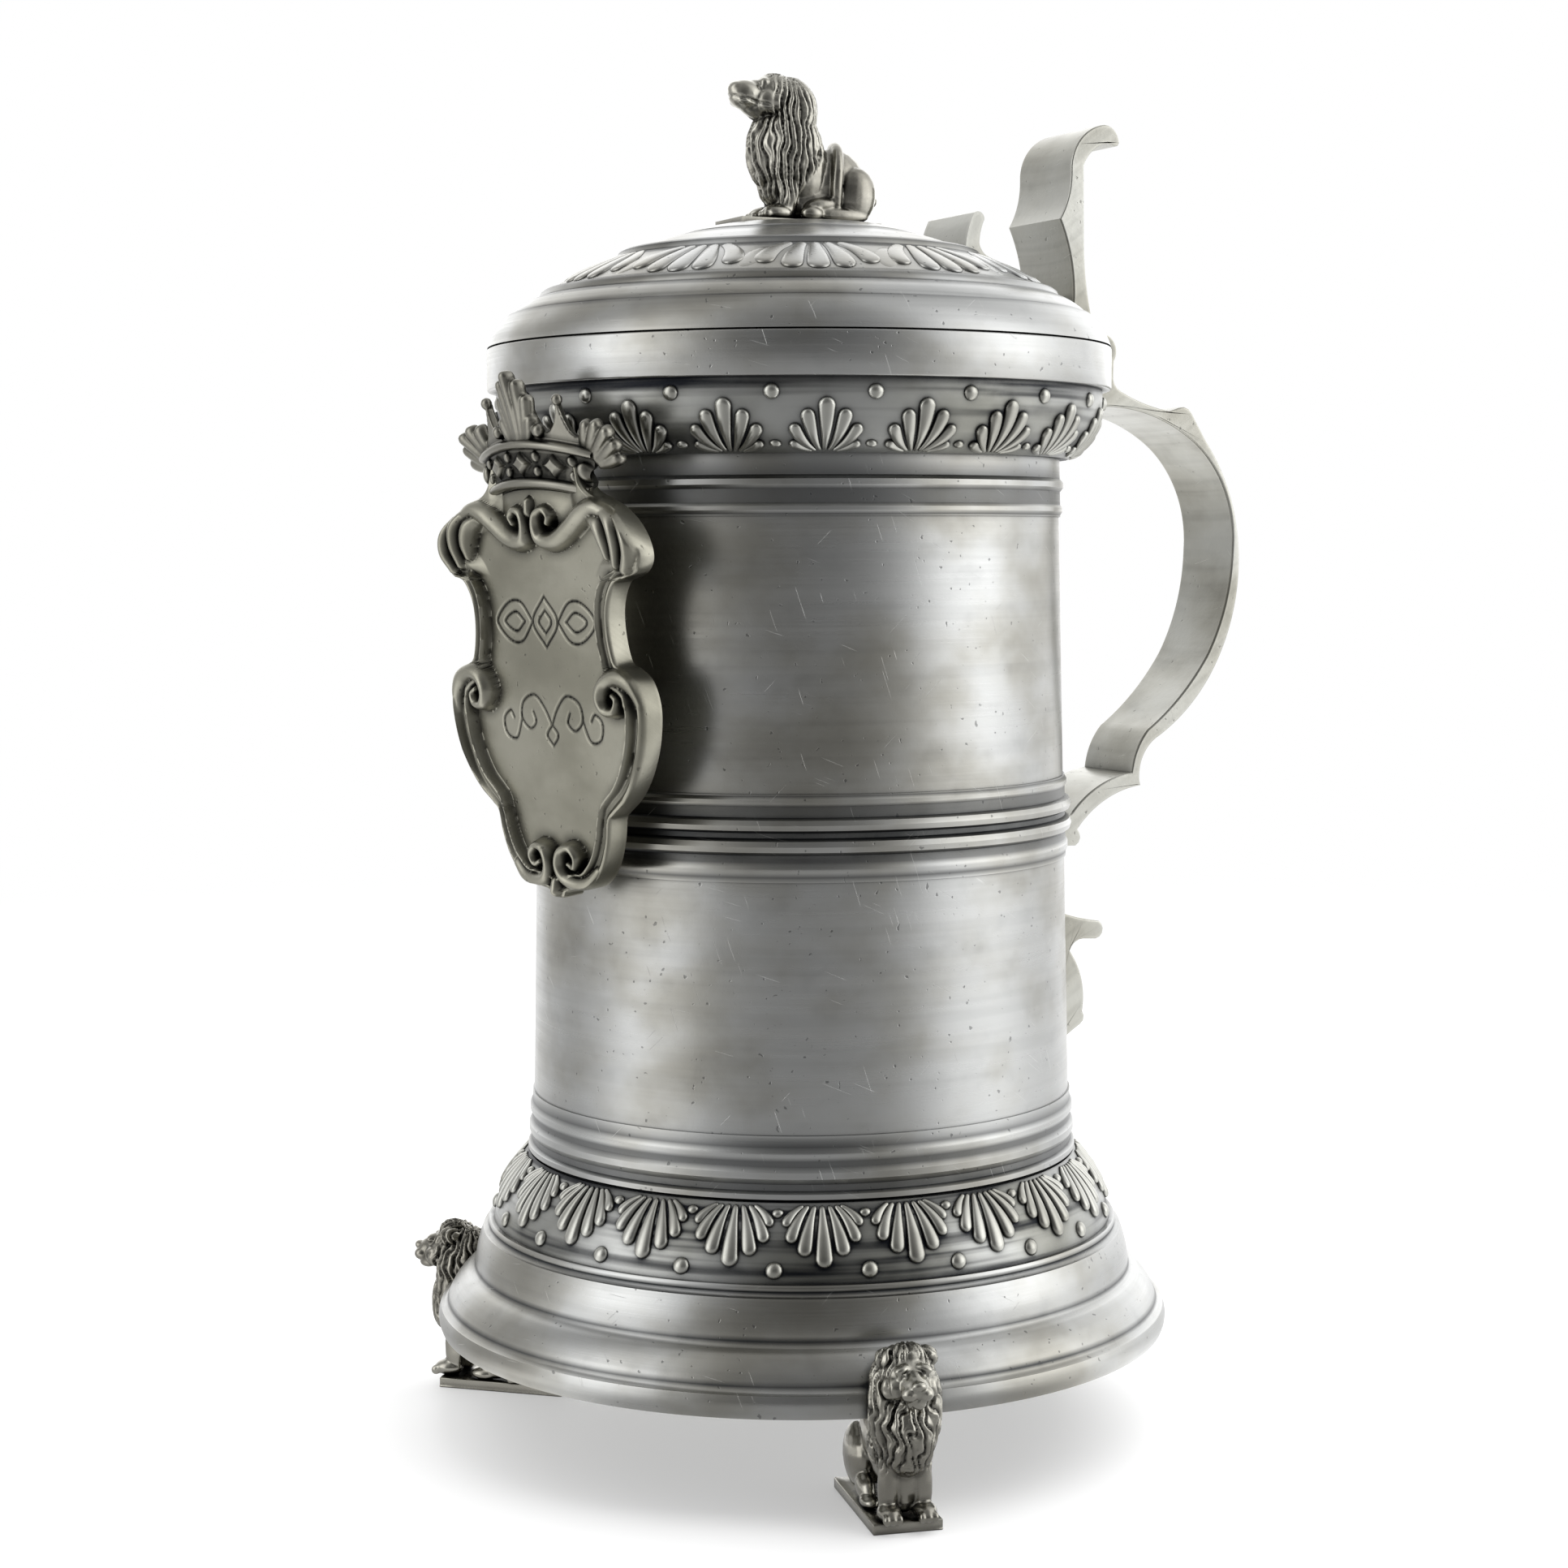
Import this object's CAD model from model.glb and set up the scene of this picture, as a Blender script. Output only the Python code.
"""Lidded pewter tankard on three lion feet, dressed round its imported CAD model.

Lengths are written in millimetres and turned to metres where a mesh is made. The row frame
is the CAD's: the origin on the vessel's axis at standing height, the handle on +Y, and an
azimuth of 0 degrees along -Y that grows towards +X.
"""

import sys
import logging
import math
from collections.abc import Iterable, Sequence
from dataclasses import dataclass, field
from enum import Enum

import bpy
import numpy as np
from mathutils import Matrix, Vector
from mathutils.geometry import tessellate_polygon


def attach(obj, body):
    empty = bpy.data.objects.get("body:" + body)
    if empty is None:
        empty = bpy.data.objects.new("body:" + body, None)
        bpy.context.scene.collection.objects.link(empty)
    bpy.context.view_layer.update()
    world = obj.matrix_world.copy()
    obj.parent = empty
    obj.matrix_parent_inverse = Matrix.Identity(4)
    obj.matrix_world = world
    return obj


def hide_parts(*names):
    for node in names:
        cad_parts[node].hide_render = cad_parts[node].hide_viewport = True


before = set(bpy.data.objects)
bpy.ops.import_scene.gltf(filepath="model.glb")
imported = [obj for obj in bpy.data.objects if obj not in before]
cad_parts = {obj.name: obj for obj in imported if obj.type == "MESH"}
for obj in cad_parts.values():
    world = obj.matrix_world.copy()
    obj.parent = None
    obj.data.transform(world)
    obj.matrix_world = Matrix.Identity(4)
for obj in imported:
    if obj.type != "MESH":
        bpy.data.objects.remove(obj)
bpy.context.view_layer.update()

log = logging.getLogger("tankard")

MM = 0.001
# The mesh attribute that says where fine cuts hold tarnish, from 0 to 1.
CUTS = "cuts"

Point = tuple[float, ...]
Form = tuple[Point, Point, Point]
Array = np.ndarray
Piece = bpy.types.Object
Material = bpy.types.Material
Tree = bpy.types.NodeTree
Socket = bpy.types.NodeSocket


class Body(Enum):
    """The CAD bodies that pieces ride on."""

    TANKARD = "tankard"
    LID = "lid"


class Slot(Enum):
    """The record's material slots."""

    TURNED = "turned_pewter"
    FRIEZE = "frieze_pewter"
    STRAP = "strap_pewter"
    SHIELD = "shield_pewter"
    LION = "lion_pewter"


# ---- colour and node helpers ----


def linear(colour: str) -> tuple[float, float, float, float]:
    """Turn an sRGB hex colour to linear.

    Args:
        colour: Six hex digits after a hash.

    Returns:
        Linear red, green and blue, and an alpha of 1.
    """
    parts = [int(colour[start : start + 2], 16) / 255 for start in (1, 3, 5)]
    bent = [p / 12.92 if p <= 0.04045 else ((p + 0.055) / 1.055) ** 2.4 for p in parts]
    return (*bent, 1.0)


def add_node(
    tree: Tree, kind: str, inputs: dict | Sequence[object] = (), **settings: object
) -> bpy.types.Node:
    """Add a node with its settings, values and links.

    Args:
        tree: The node tree.
        kind: The node's type, without the words ShaderNode.
        inputs: Values or the sockets that feed them, for the first sockets in order or by
            the socket's name or number.
        settings: The node's own properties.

    Returns:
        The new node.
    """
    node = tree.nodes.new("ShaderNode" + kind)
    for name, value in settings.items():
        setattr(node, name, value)
    for key, value in inputs.items() if isinstance(inputs, dict) else enumerate(inputs):
        if isinstance(value, Socket):
            tree.links.new(value, node.inputs[key])
        else:
            node.inputs[key].default_value = value
    return node


# ---- finishes ----

# Sizes of the patterns in cells to the metre: two ways across, and up.
RING_CELLS = 30.0  # a turned ring changes every 33 mm on its way round
STREAK_CELLS = (14.0, 14.0, 420.0)  # wiped streaks 71 mm long and 2.4 mm high
CLOUD_CELLS = (34.0, 34.0, 46.0)  # smoky patches of 29 mm by 22 mm
MOTTLE_CELLS = (150.0, 150.0, 210.0)  # spots of 7 mm by 5 mm
PIT_CELLS = (900.0, 900.0, 900.0)  # casting pits, about a millimetre apart
SCRATCH_CELLS = (110.0, 110.0, 5200.0)  # hairlines 9 mm long and 0.2 mm wide
# Where on its noise each mark starts and where it is full.
STREAKED = (0.42, 0.68)
SMOKY = (0.4, 0.72)
MOTTLED = (0.5, 0.8)
TINTED = (0.36, 0.66)
PITTED = (0.72, 0.78)
# The turns of the scratches, and where on its noise each lot starts.
SCRATCH_WAYS = (((0.5, 0.2, 0.0), 0.83), ((-0.75, 0.35, 0.6), 0.85), ((1.25, -0.3, 1.1), 0.84))
SCRATCH_EDGE = 0.05
SCRATCH_COLOUR = "#e9e9e6"
SCRATCH_DEPTH_MM = 0.02
PIT_DEPTH_MM = 0.03
EDGE_MM = 0.8  # how near an edge handling rubs the metal bright
RING_SLOPE = 0.7  # how far the rings climb for each step outwards
MOTTLE_SHARE = 0.4  # how strong the spots are beside the patches
TARNISH_ROUGHNESS = 0.16
RING_ROUGHNESS = 0.14


@dataclass(frozen=True)
class PewterFinish:
    """Tin alloy with a grey patina, worn bright on what stands proud.

    Pewter is soft, so it shows what made it: fine rings where it was turned, a sandy skin
    where it was cast. Handling rubs its edges pale, while a bluish black tarnish stays in
    grooves and corners.
    """

    name: str
    metal: str
    patina: str
    tint: str
    roughness: float
    ring_pitch_mm: float = 0.35
    ring_depth_mm: float = 0.004
    grain_mm: float = 0.5
    grain_depth_mm: float = 0.006
    recess_mm: float = 2.2
    recess_gain: float = 1.5
    wipe: float = 0.0
    cloud: float = 0.3
    scratches: float = 0.0
    pits: float = 0.0
    wear: float = 0.35

    def make(self) -> Material:
        """Build the material.

        Returns:
            A material whose patterns all follow Object coordinates.
        """
        material = bpy.data.materials.new(self.name)
        material.use_nodes = True
        tree = material.node_tree
        tree.nodes.clear()
        place = add_node(tree, "TexCoord").outputs["Object"]
        lathe = self._lathe_place(tree, place)
        ring_cells = (RING_CELLS, RING_CELLS, 1 / (self.ring_pitch_mm * MM))
        rings = self._noise(tree, lathe, ring_cells, 3.0)
        grain = self._noise(tree, place, (1 / (self.grain_mm * MM),) * 3, 2.0)
        clouds = self._noise(tree, place, CLOUD_CELLS, 4.0)
        tarnish = self._tarnish(tree, place, lathe, clouds)

        layers = [(self._mark(tree, clouds, TINTED, 1.0), self.tint), (tarnish, self.patina)]
        reliefs = [(rings, self.ring_depth_mm), (grain, self.grain_depth_mm)]
        if self.scratches:
            lines = self._scratches(tree, place)
            strength = add_node(tree, "Math", [lines, self.scratches], operation="MULTIPLY")
            layers.append((strength.outputs[0], SCRATCH_COLOUR))
            reliefs.append((lines, -SCRATCH_DEPTH_MM))
        if self.pits:
            spots = self._noise(tree, place, PIT_CELLS, 1.0)
            layers.append((self._mark(tree, spots, PITTED, self.pits), self.patina))
            reliefs.append((self._mark(tree, spots, PITTED, 1.0), -PIT_DEPTH_MM))

        colour = linear(self.metal)
        for share, other in layers:
            mixed = {0: share, 6: colour, 7: linear(other)}
            colour = add_node(tree, "Mix", mixed, data_type="RGBA").outputs[2]
        height = 0.0
        for pattern, depth_mm in reliefs:
            summed = [pattern, depth_mm * MM, height]
            height = add_node(tree, "Math", summed, operation="MULTIPLY_ADD").outputs[0]
        rough = self.roughness - RING_ROUGHNESS / 2
        for pattern, strength in ((tarnish, TARNISH_ROUGHNESS), (rings, RING_ROUGHNESS)):
            summed = [pattern, strength, rough]
            rough = add_node(tree, "Math", summed, operation="MULTIPLY_ADD").outputs[0]

        bump = add_node(tree, "Bump", {"Strength": 1.0, "Distance": 1.0, "Height": height})
        shader = add_node(
            tree,
            "BsdfPrincipled",
            {"Base Color": colour, "Metallic": 1.0, "Roughness": rough, "Normal": bump.outputs[0]},
        )
        add_node(tree, "OutputMaterial", {"Surface": shader.outputs[0]})
        return material

    @staticmethod
    def _lathe_place(tree: Tree, place: Socket) -> Socket:
        """Find coordinates that suit turned rings.

        Rings run round the vessel, on walls and on the lid alike, so the fine pattern
        changes with height less reach and hardly at all on the way round.

        Args:
            tree: The node tree.
            place: Object coordinates.

        Returns:
            Coordinates whose third part counts the rings.
        """
        split = add_node(tree, "SeparateXYZ", [place]).outputs
        flat = add_node(tree, "CombineXYZ", [split[0], split[1]]).outputs[0]
        reach = add_node(tree, "VectorMath", [flat], operation="LENGTH").outputs["Value"]
        level = add_node(tree, "Math", [reach, -RING_SLOPE, split[2]], operation="MULTIPLY_ADD")
        return add_node(tree, "CombineXYZ", [split[0], split[1], level.outputs[0]]).outputs[0]

    def _tarnish(self, tree: Tree, place: Socket, lathe: Socket, clouds: Socket) -> Socket:
        """Find where tarnish stays.

        Args:
            tree: The node tree.
            place: Object coordinates.
            lathe: Coordinates that follow turned rings.
            clouds: The noise of the smoky patches.

        Returns:
            A socket from 0 on bare metal to 1.
        """
        # Recesses within a couple of millimetres of other metal keep their tarnish.
        deep = {"Distance": self.recess_mm * MM}
        hidden = add_node(tree, "AmbientOcclusion", deep, samples=8).outputs["AO"]
        # A part of the metal that stands proud is rubbed bright.
        near = {"Distance": EDGE_MM * MM}
        proud = add_node(tree, "AmbientOcclusion", near, samples=6, inside=True).outputs["AO"]
        recess, edge = (
            add_node(
                tree, "Math", [seen, -gain, gain], operation="MULTIPLY_ADD", use_clamp=True
            ).outputs[0]
            for seen, gain in ((hidden, self.recess_gain), (proud, self.wear))
        )
        streaks = self._noise(tree, lathe, STREAK_CELLS, 2.0)
        mottle = self._noise(tree, place, MOTTLE_CELLS, 3.0)
        total = recess
        for mark in (
            self._mark(tree, streaks, STREAKED, self.wipe),
            self._mark(tree, clouds, SMOKY, self.cloud),
            self._mark(tree, mottle, MOTTLED, self.cloud * MOTTLE_SHARE),
        ):
            total = add_node(tree, "Math", [total, mark], operation="ADD").outputs[0]
        total = add_node(tree, "Math", [total, edge], operation="SUBTRACT", use_clamp=True)
        cuts = add_node(tree, "Attribute", attribute_name=CUTS).outputs["Fac"]
        held = [total.outputs[0], cuts]
        return add_node(tree, "Math", held, operation="ADD", use_clamp=True).outputs[0]

    @staticmethod
    def _noise(tree: Tree, place: Socket, cells: Point, detail: float) -> Socket:
        """Lay noise over the metal.

        Args:
            tree: The node tree.
            place: The coordinates that it follows.
            cells: Its cells to the metre in each direction.
            detail: How many finer layers it has.

        Returns:
            The noise's value, about 0.5 on average.
        """
        grown = add_node(tree, "VectorMath", [place, cells], operation="MULTIPLY").outputs[0]
        look = {"Vector": grown, "Scale": 1.0, "Detail": detail}
        return add_node(tree, "TexNoise", look).outputs[0]

    @staticmethod
    def _mark(tree: Tree, noise: Socket, span: Point, strength: float) -> Socket:
        """Turn the peaks of a noise to marks.

        Args:
            tree: The node tree.
            noise: The noise's value.
            span: Where a mark starts and where it is full.
            strength: What a full mark comes to.

        Returns:
            A socket from 0 to the strength.
        """
        stretch = [noise, *span, 0.0, strength]
        return add_node(tree, "MapRange", stretch, interpolation_type="SMOOTHSTEP").outputs[0]

    def _scratches(self, tree: Tree, place: Socket) -> Socket:
        """Draw handling scratches: bright hairlines in a few directions.

        Args:
            tree: The node tree.
            place: Object coordinates.

        Returns:
            A socket that is 1 on a scratch.
        """
        marks = 0.0
        for turn, start in SCRATCH_WAYS:
            turned = add_node(tree, "Mapping", {"Vector": place, "Rotation": turn}).outputs[0]
            lines = self._noise(tree, turned, SCRATCH_CELLS, 0.0)
            line = self._mark(tree, lines, (start, start + SCRATCH_EDGE), 1.0)
            marks = add_node(tree, "Math", [marks, line], operation="MAXIMUM").outputs[0]
        return marks


# Turned and burnished on a lathe: grey, fine rings, soft reflections.
TURNED = PewterFinish(
    "turned_pewter",
    "#b2b3b2",
    "#37393b",
    "#a3a199",
    0.29,
    ring_depth_mm=0.006,
    recess_mm=1.8,
    recess_gain=1.4,
    wipe=0.08,
    cloud=0.26,
    scratches=0.22,
    pits=0.5,
)
# The cast ground of the friezes: tarnish left in the corners, wiped off in streaks.
FRIEZE_GROUND = PewterFinish(
    "frieze_ground_pewter",
    "#a9aaa8",
    "#1b1d22",
    "#989890",
    0.33,
    recess_mm=3.4,
    recess_gain=2.1,
    wipe=0.75,
    cloud=0.3,
)
# The raised ornament, rubbed bright on its crests.
FRIEZE_RELIEF = PewterFinish(
    "frieze_relief_pewter",
    "#b6b6b0",
    "#1d2025",
    "#a5a49c",
    0.3,
    ring_depth_mm=0.0,
    recess_mm=1.5,
    recess_gain=2.1,
    cloud=0.2,
    wear=0.6,
)
# Cast straps, filed and brushed: pale, with a sandy skin.
STRAP = PewterFinish(
    "cast_strap_pewter",
    "#b2b2ac",
    "#4a4a46",
    "#a9a79d",
    0.3,
    ring_depth_mm=0.0,
    grain_mm=0.9,
    grain_depth_mm=0.02,
    recess_mm=3.0,
    wipe=0.12,
    cloud=0.3,
    scratches=0.2,
    pits=0.35,
    wear=0.8,
)
# The cast shield, a warmer and more olive grey than the turned parts.
SHIELD = PewterFinish(
    "cast_shield_pewter",
    "#a09e92",
    "#232321",
    "#908e81",
    0.33,
    ring_depth_mm=0.008,
    grain_mm=0.6,
    grain_depth_mm=0.014,
    recess_mm=2.2,
    recess_gain=1.9,
    cloud=0.22,
    pits=0.4,
    wear=0.9,
)
# The crown, cast with the shield but never burnished: darker, with black in its folds.
CROWN = PewterFinish(
    "cast_crown_pewter",
    "#949288",
    "#1c1c1a",
    "#84827a",
    0.3,
    ring_depth_mm=0.0,
    grain_mm=0.6,
    grain_depth_mm=0.014,
    recess_mm=1.5,
    recess_gain=2.4,
    cloud=0.3,
    wear=0.8,
)
# The lions, cast from a fine mould: brassy grey with dark tarnish between the locks.
LION = PewterFinish(
    "cast_lion_pewter",
    "#acaaa1",
    "#1c1b19",
    "#96938a",
    0.23,
    ring_depth_mm=0.0,
    grain_mm=0.7,
    grain_depth_mm=0.014,
    recess_mm=1.3,
    recess_gain=2.1,
    cloud=0.15,
    wear=0.9,
)
# The hinge pin, a drawn wire of a harder alloy, dull and darker.
PIN = PewterFinish("hinge_pin_alloy", "#8c8c88", "#2a2a2a", "#7d7c76", 0.38, ring_depth_mm=0.0)


# ---- mesh helpers ----


def deselect_all() -> None:
    """Leave nothing selected, because an operator acts on all that is."""
    bpy.ops.object.select_all(action="DESELECT")
    bpy.context.view_layer.objects.active = None


def select_only(piece: Piece) -> None:
    """Select one object and make it the active one."""
    deselect_all()
    piece.select_set(True)
    bpy.context.view_layer.objects.active = piece


def coordinates(piece: Piece) -> Array:
    """Return a mesh's vertices in millimetres."""
    flat = np.empty(len(piece.data.vertices) * 3)
    piece.data.vertices.foreach_get("co", flat)
    return flat.reshape(-1, 3) / MM


def reshape(piece: Piece, places: Array) -> None:
    """Move a mesh's vertices to places in millimetres."""
    piece.data.vertices.foreach_set("co", (places * MM).ravel())
    piece.data.update()


def mark_cuts(piece: Piece, depth: Array) -> None:
    """Note at each vertex how much tarnish its cut holds, from 0 to 1."""
    note = piece.data.attributes.new(CUTS, "FLOAT", "POINT")
    note.data.foreach_set("value", np.clip(depth, 0, 1))


def join(name: str, pieces: Sequence[Piece]) -> Piece:
    """Join pieces into one object.

    Args:
        name: The new object's name.
        pieces: What is joined; the first one stays.

    Returns:
        The joined object.
    """
    deselect_all()
    for piece in pieces:
        piece.select_set(True)
    bpy.context.view_layer.objects.active = pieces[0]
    if len(pieces) > 1:
        bpy.ops.object.join()
    pieces[0].name = pieces[0].data.name = name
    return pieces[0]


def turned_copy(piece: Piece, name: str, turn: float) -> Piece:
    """Copy a piece with a mesh of its own.

    Args:
        piece: What is copied.
        name: The copy's name.
        turn: How far it is turned about the vessel's axis, in degrees.

    Returns:
        The copy.
    """
    twin = piece.copy()
    twin.data = piece.data.copy()
    twin.name = twin.data.name = name
    bpy.context.scene.collection.objects.link(twin)
    twin.data.transform(Matrix.Rotation(math.radians(turn), 4, "Z"))
    return twin


def apply_modifier(piece: Piece, kind: str, **settings: object) -> None:
    """Add a modifier with its settings and apply it.

    Args:
        piece: The object that it changes.
        kind: The modifier's type.
        settings: The modifier's own properties.
    """
    select_only(piece)
    modifier = piece.modifiers.new(kind.lower(), kind)
    for name, value in settings.items():
        setattr(modifier, name, value)
    bpy.ops.object.modifier_apply(modifier=modifier.name)


def smooth(piece: Piece, degrees: float = 40.0) -> None:
    """Shade smooth but for edges sharper than an angle."""
    select_only(piece)
    bpy.ops.object.shade_smooth_by_angle(angle=math.radians(degrees))


def face_outwards(piece: Piece) -> None:
    """Merge doubles and point a closed mesh's faces outwards.

    Args:
        piece: The object, whose mesh has no gaps.
    """
    select_only(piece)
    bpy.ops.object.mode_set(mode="EDIT")
    bpy.ops.mesh.select_all(action="SELECT")
    bpy.ops.mesh.remove_doubles(threshold=0.00001)
    bpy.ops.mesh.normals_make_consistent(inside=False)
    bpy.ops.object.mode_set(mode="OBJECT")


def finish_piece(
    piece: Piece,
    body: Body,
    material: Material,
    stands_for: Iterable[str] = (),
) -> Piece:
    """Dress a piece, tie it to its body and report it.

    Args:
        piece: The mesh, in its place.
        body: The CAD body that it moves with.
        material: Its finish.
        stands_for: CAD nodes that it replaces.

    Returns:
        The piece.
    """
    piece.data.materials.clear()
    piece.data.materials.append(material)
    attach(piece, body.value)
    if stands_for:
        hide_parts(*stands_for)
    log.info("%s: %d faces on %s", piece.name, len(piece.data.polygons), body.value)
    return piece


def through(points: Sequence[Point], steps: int = 8) -> Array:
    """Run a smooth curve through points of any dimension.

    Args:
        points: The points, in order.
        steps: How many parts each gap gets.

    Returns:
        The curve's points, one row each.
    """
    given = np.array(points, float)
    padded = np.vstack([2 * given[0] - given[1], given, 2 * given[-1] - given[-2]])
    rows = []
    for index in range(1, len(padded) - 2):
        before, here, there, after = padded[index - 1 : index + 3]
        for step in np.arange(steps) / steps:
            rows.append(
                0.5
                * (
                    2 * here
                    + (there - before) * step
                    + (2 * before - 5 * here + 4 * there - after) * step**2
                    + (3 * here - before - 3 * there + after) * step**3
                )
            )
    return np.vstack([rows, given[-1]])


def ball(centre: Point, radii: Point, turn: Point = (0, 0, 0), segments: int = 20) -> Piece:
    """Add an egg-shaped form.

    Args:
        centre: Its middle in millimetres.
        radii: Its half sizes in millimetres.
        turn: Its turn about X, Y and Z in degrees.
        segments: How many parts go round it.

    Returns:
        The form, with its place in its mesh.
    """
    deselect_all()
    bpy.ops.mesh.primitive_uv_sphere_add(segments=segments, ring_count=segments // 2, radius=MM)
    form = bpy.context.object
    stretch = Matrix.Diagonal((*radii, 1))
    rotation = Matrix.Identity(4)
    for degrees, axis in zip(turn, "XYZ"):
        rotation = Matrix.Rotation(math.radians(degrees), 4, axis) @ rotation
    form.data.transform(Matrix.Translation(Vector(centre) * MM) @ rotation @ stretch)
    return form


def rod(path: Sequence[Point], flat: float = 1.0, ring: int = 10) -> Piece:
    """Add a rounded rod along a smooth path.

    Args:
        path: Rows of x, y, z and radius in millimetres.
        flat: How thick the rod is along Y, as a share of its width.
        ring: How many sides it has.

    Returns:
        The rod, closed at both ends.
    """
    rows = through(path, 5)
    ways = np.gradient(rows[:, :3], axis=0)
    ways /= np.linalg.norm(ways, axis=1)[:, None]
    side = np.cross(ways, (0.0, 1.0, 0.0))
    weak = np.linalg.norm(side, axis=1) < 0.2
    side[weak] = np.cross(ways[weak], (1.0, 0.0, 0.0))
    side /= np.linalg.norm(side, axis=1)[:, None]
    other = np.cross(side, ways)
    angles = np.arange(ring) * 2 * math.pi / ring
    rings = (
        rows[:, None, :3]
        + side[:, None] * (np.cos(angles)[:, None] * rows[:, None, 3:4])
        + other[:, None] * (np.sin(angles)[:, None] * rows[:, None, 3:4] * flat)
    )
    first = rows[0, :3] - ways[0] * rows[0, 3] * 0.6
    final = rows[-1, :3] + ways[-1] * rows[-1, 3] * 0.6
    ends = np.vstack([first, final])
    verts = np.vstack([rings.reshape(-1, 3), ends]) * MM
    faces = []
    last = len(rows) - 1
    for row in range(last):
        for k in range(ring):
            after = (k + 1) % ring
            faces.append(
                (row * ring + k, row * ring + after, (row + 1) * ring + after, (row + 1) * ring + k)
            )
    start, end = len(rows) * ring, len(rows) * ring + 1
    for k in range(ring):
        after = (k + 1) % ring
        faces.append((start, after, k))
        faces.append((end, last * ring + k, last * ring + after))
    mesh = bpy.data.meshes.new("rod")
    mesh.from_pydata(verts.tolist(), [], faces)
    made = bpy.data.objects.new("rod", mesh)
    bpy.context.scene.collection.objects.link(made)
    return made


def cast_in_one(name: str, forms: Sequence[Piece], voxel_mm: float, softening: int) -> Piece:
    """Melt overlapping forms into one cast skin.

    Args:
        name: The casting's name.
        forms: What it is made of.
        voxel_mm: The skin's detail in millimetres.
        softening: How often the skin is smoothed.

    Returns:
        The casting.
    """
    casting = join(name, forms)
    face_outwards(casting)
    apply_modifier(casting, "REMESH", mode="VOXEL", voxel_size=voxel_mm * MM, use_smooth_shade=True)
    if softening:
        apply_modifier(casting, "SMOOTH", factor=0.5, iterations=softening)
    return casting


# ---- relief on turned walls ----


@dataclass(frozen=True)
class ArcWall:
    """The side view of a turned wall: an arc from start to end, in reach and height."""

    start: Point
    end: Point
    radius: float

    def _centre(self) -> Array:
        """Return the arc's centre, on its hollow side."""
        start, end = np.array(self.start), np.array(self.end)
        chord = end - start
        length = math.hypot(*chord)
        across = np.array([-chord[1], chord[0]]) / length
        return (start + end) / 2 + across * math.sqrt(self.radius**2 - length**2 / 4)

    def place(self, up: Array, lift: Array) -> tuple[Array, Array]:
        """Find points on the wall.

        Args:
            up: How far each one is along the arc from its start, in millimetres.
            lift: How far each one stands off the wall, in millimetres.

        Returns:
            The reach and the height of each point.
        """
        centre = self._centre()
        first = np.array(self.start) - centre
        angle = math.atan2(first[1], first[0]) + up / self.radius
        grown = self.radius + lift
        return centre[0] + np.cos(angle) * grown, centre[1] + np.sin(angle) * grown


@dataclass(frozen=True)
class Lobe:
    """One raised teardrop of a palmette, flat on the wall: across and up in millimetres."""

    root: Point
    tip: Point
    root_width: float
    tip_width: float
    rise: float
    bend: float = 0.0

    def model(self) -> Piece:
        """Shape a sphere into the teardrop.

        Returns:
            A mesh whose X is across, Y is up the wall and Z is off it.
        """
        deselect_all()
        bpy.ops.mesh.primitive_uv_sphere_add(segments=14, ring_count=18, radius=MM)
        drop = bpy.context.object
        grid = coordinates(drop)
        share = np.clip((1 - grid[:, 2]) / 2, 0, 1)
        root, tip = np.array(self.root), np.array(self.tip)
        chord = tip - root
        length = math.hypot(*chord)
        side = np.array([chord[1], -chord[0]]) / length
        middle = (root + tip) / 2 + side * self.bend
        fraction = share[:, None]
        line = root * (1 - fraction) ** 2 + middle * 2 * fraction * (1 - fraction) + tip * fraction**2
        way = (middle - root) * 2 * (1 - fraction) + (tip - middle) * 2 * fraction
        way /= np.linalg.norm(way, axis=1)[:, None]
        out = np.stack([way[:, 1], -way[:, 0]], axis=1)
        around = np.hypot(grid[:, 0], grid[:, 1])
        grow = share**1.3 * (3 - 2 * share**1.3) * share**0.4
        grow = np.clip(grow / grow.max(), 0, 1)
        cap = 1 - self.tip_width / 2 / length
        end = np.sqrt(np.clip(1 - ((share - cap) / (1 - cap)).clip(0, 1) ** 2, 0, 1))
        begin = np.sqrt(np.clip(share / 0.05, 0, 1))
        half = (self.root_width + (self.tip_width - self.root_width) * grow) / 2 * end * begin
        angle = np.arctan2(grid[:, 1], grid[:, 0])
        across = np.sign(np.cos(angle)) * np.abs(np.cos(angle)) ** 0.8
        over = np.sign(np.sin(angle)) * np.abs(np.sin(angle)) ** 0.8
        tall = self.rise * (0.45 + 0.55 * grow) * np.sqrt(np.clip(end * begin, 0, 1))
        real = around > 1e-6
        half, tall = half * real, tall * real
        places = np.empty_like(grid)
        places[:, :2] = line + out * (across * half)[:, None]
        places[:, 2] = over * tall * np.where(over > 0, 1.0, 0.5)
        reshape(drop, places)
        return drop


@dataclass(frozen=True)
class Dot:
    """One raised bead of a frieze."""

    place: Point
    width: float
    height: float
    rise: float

    def model(self) -> Piece:
        """Return a flattened ball, with X across, Y up the wall and Z off it."""
        return ball((*self.place, 0.0), (self.width / 2, self.height / 2, self.rise), segments=16)


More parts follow.
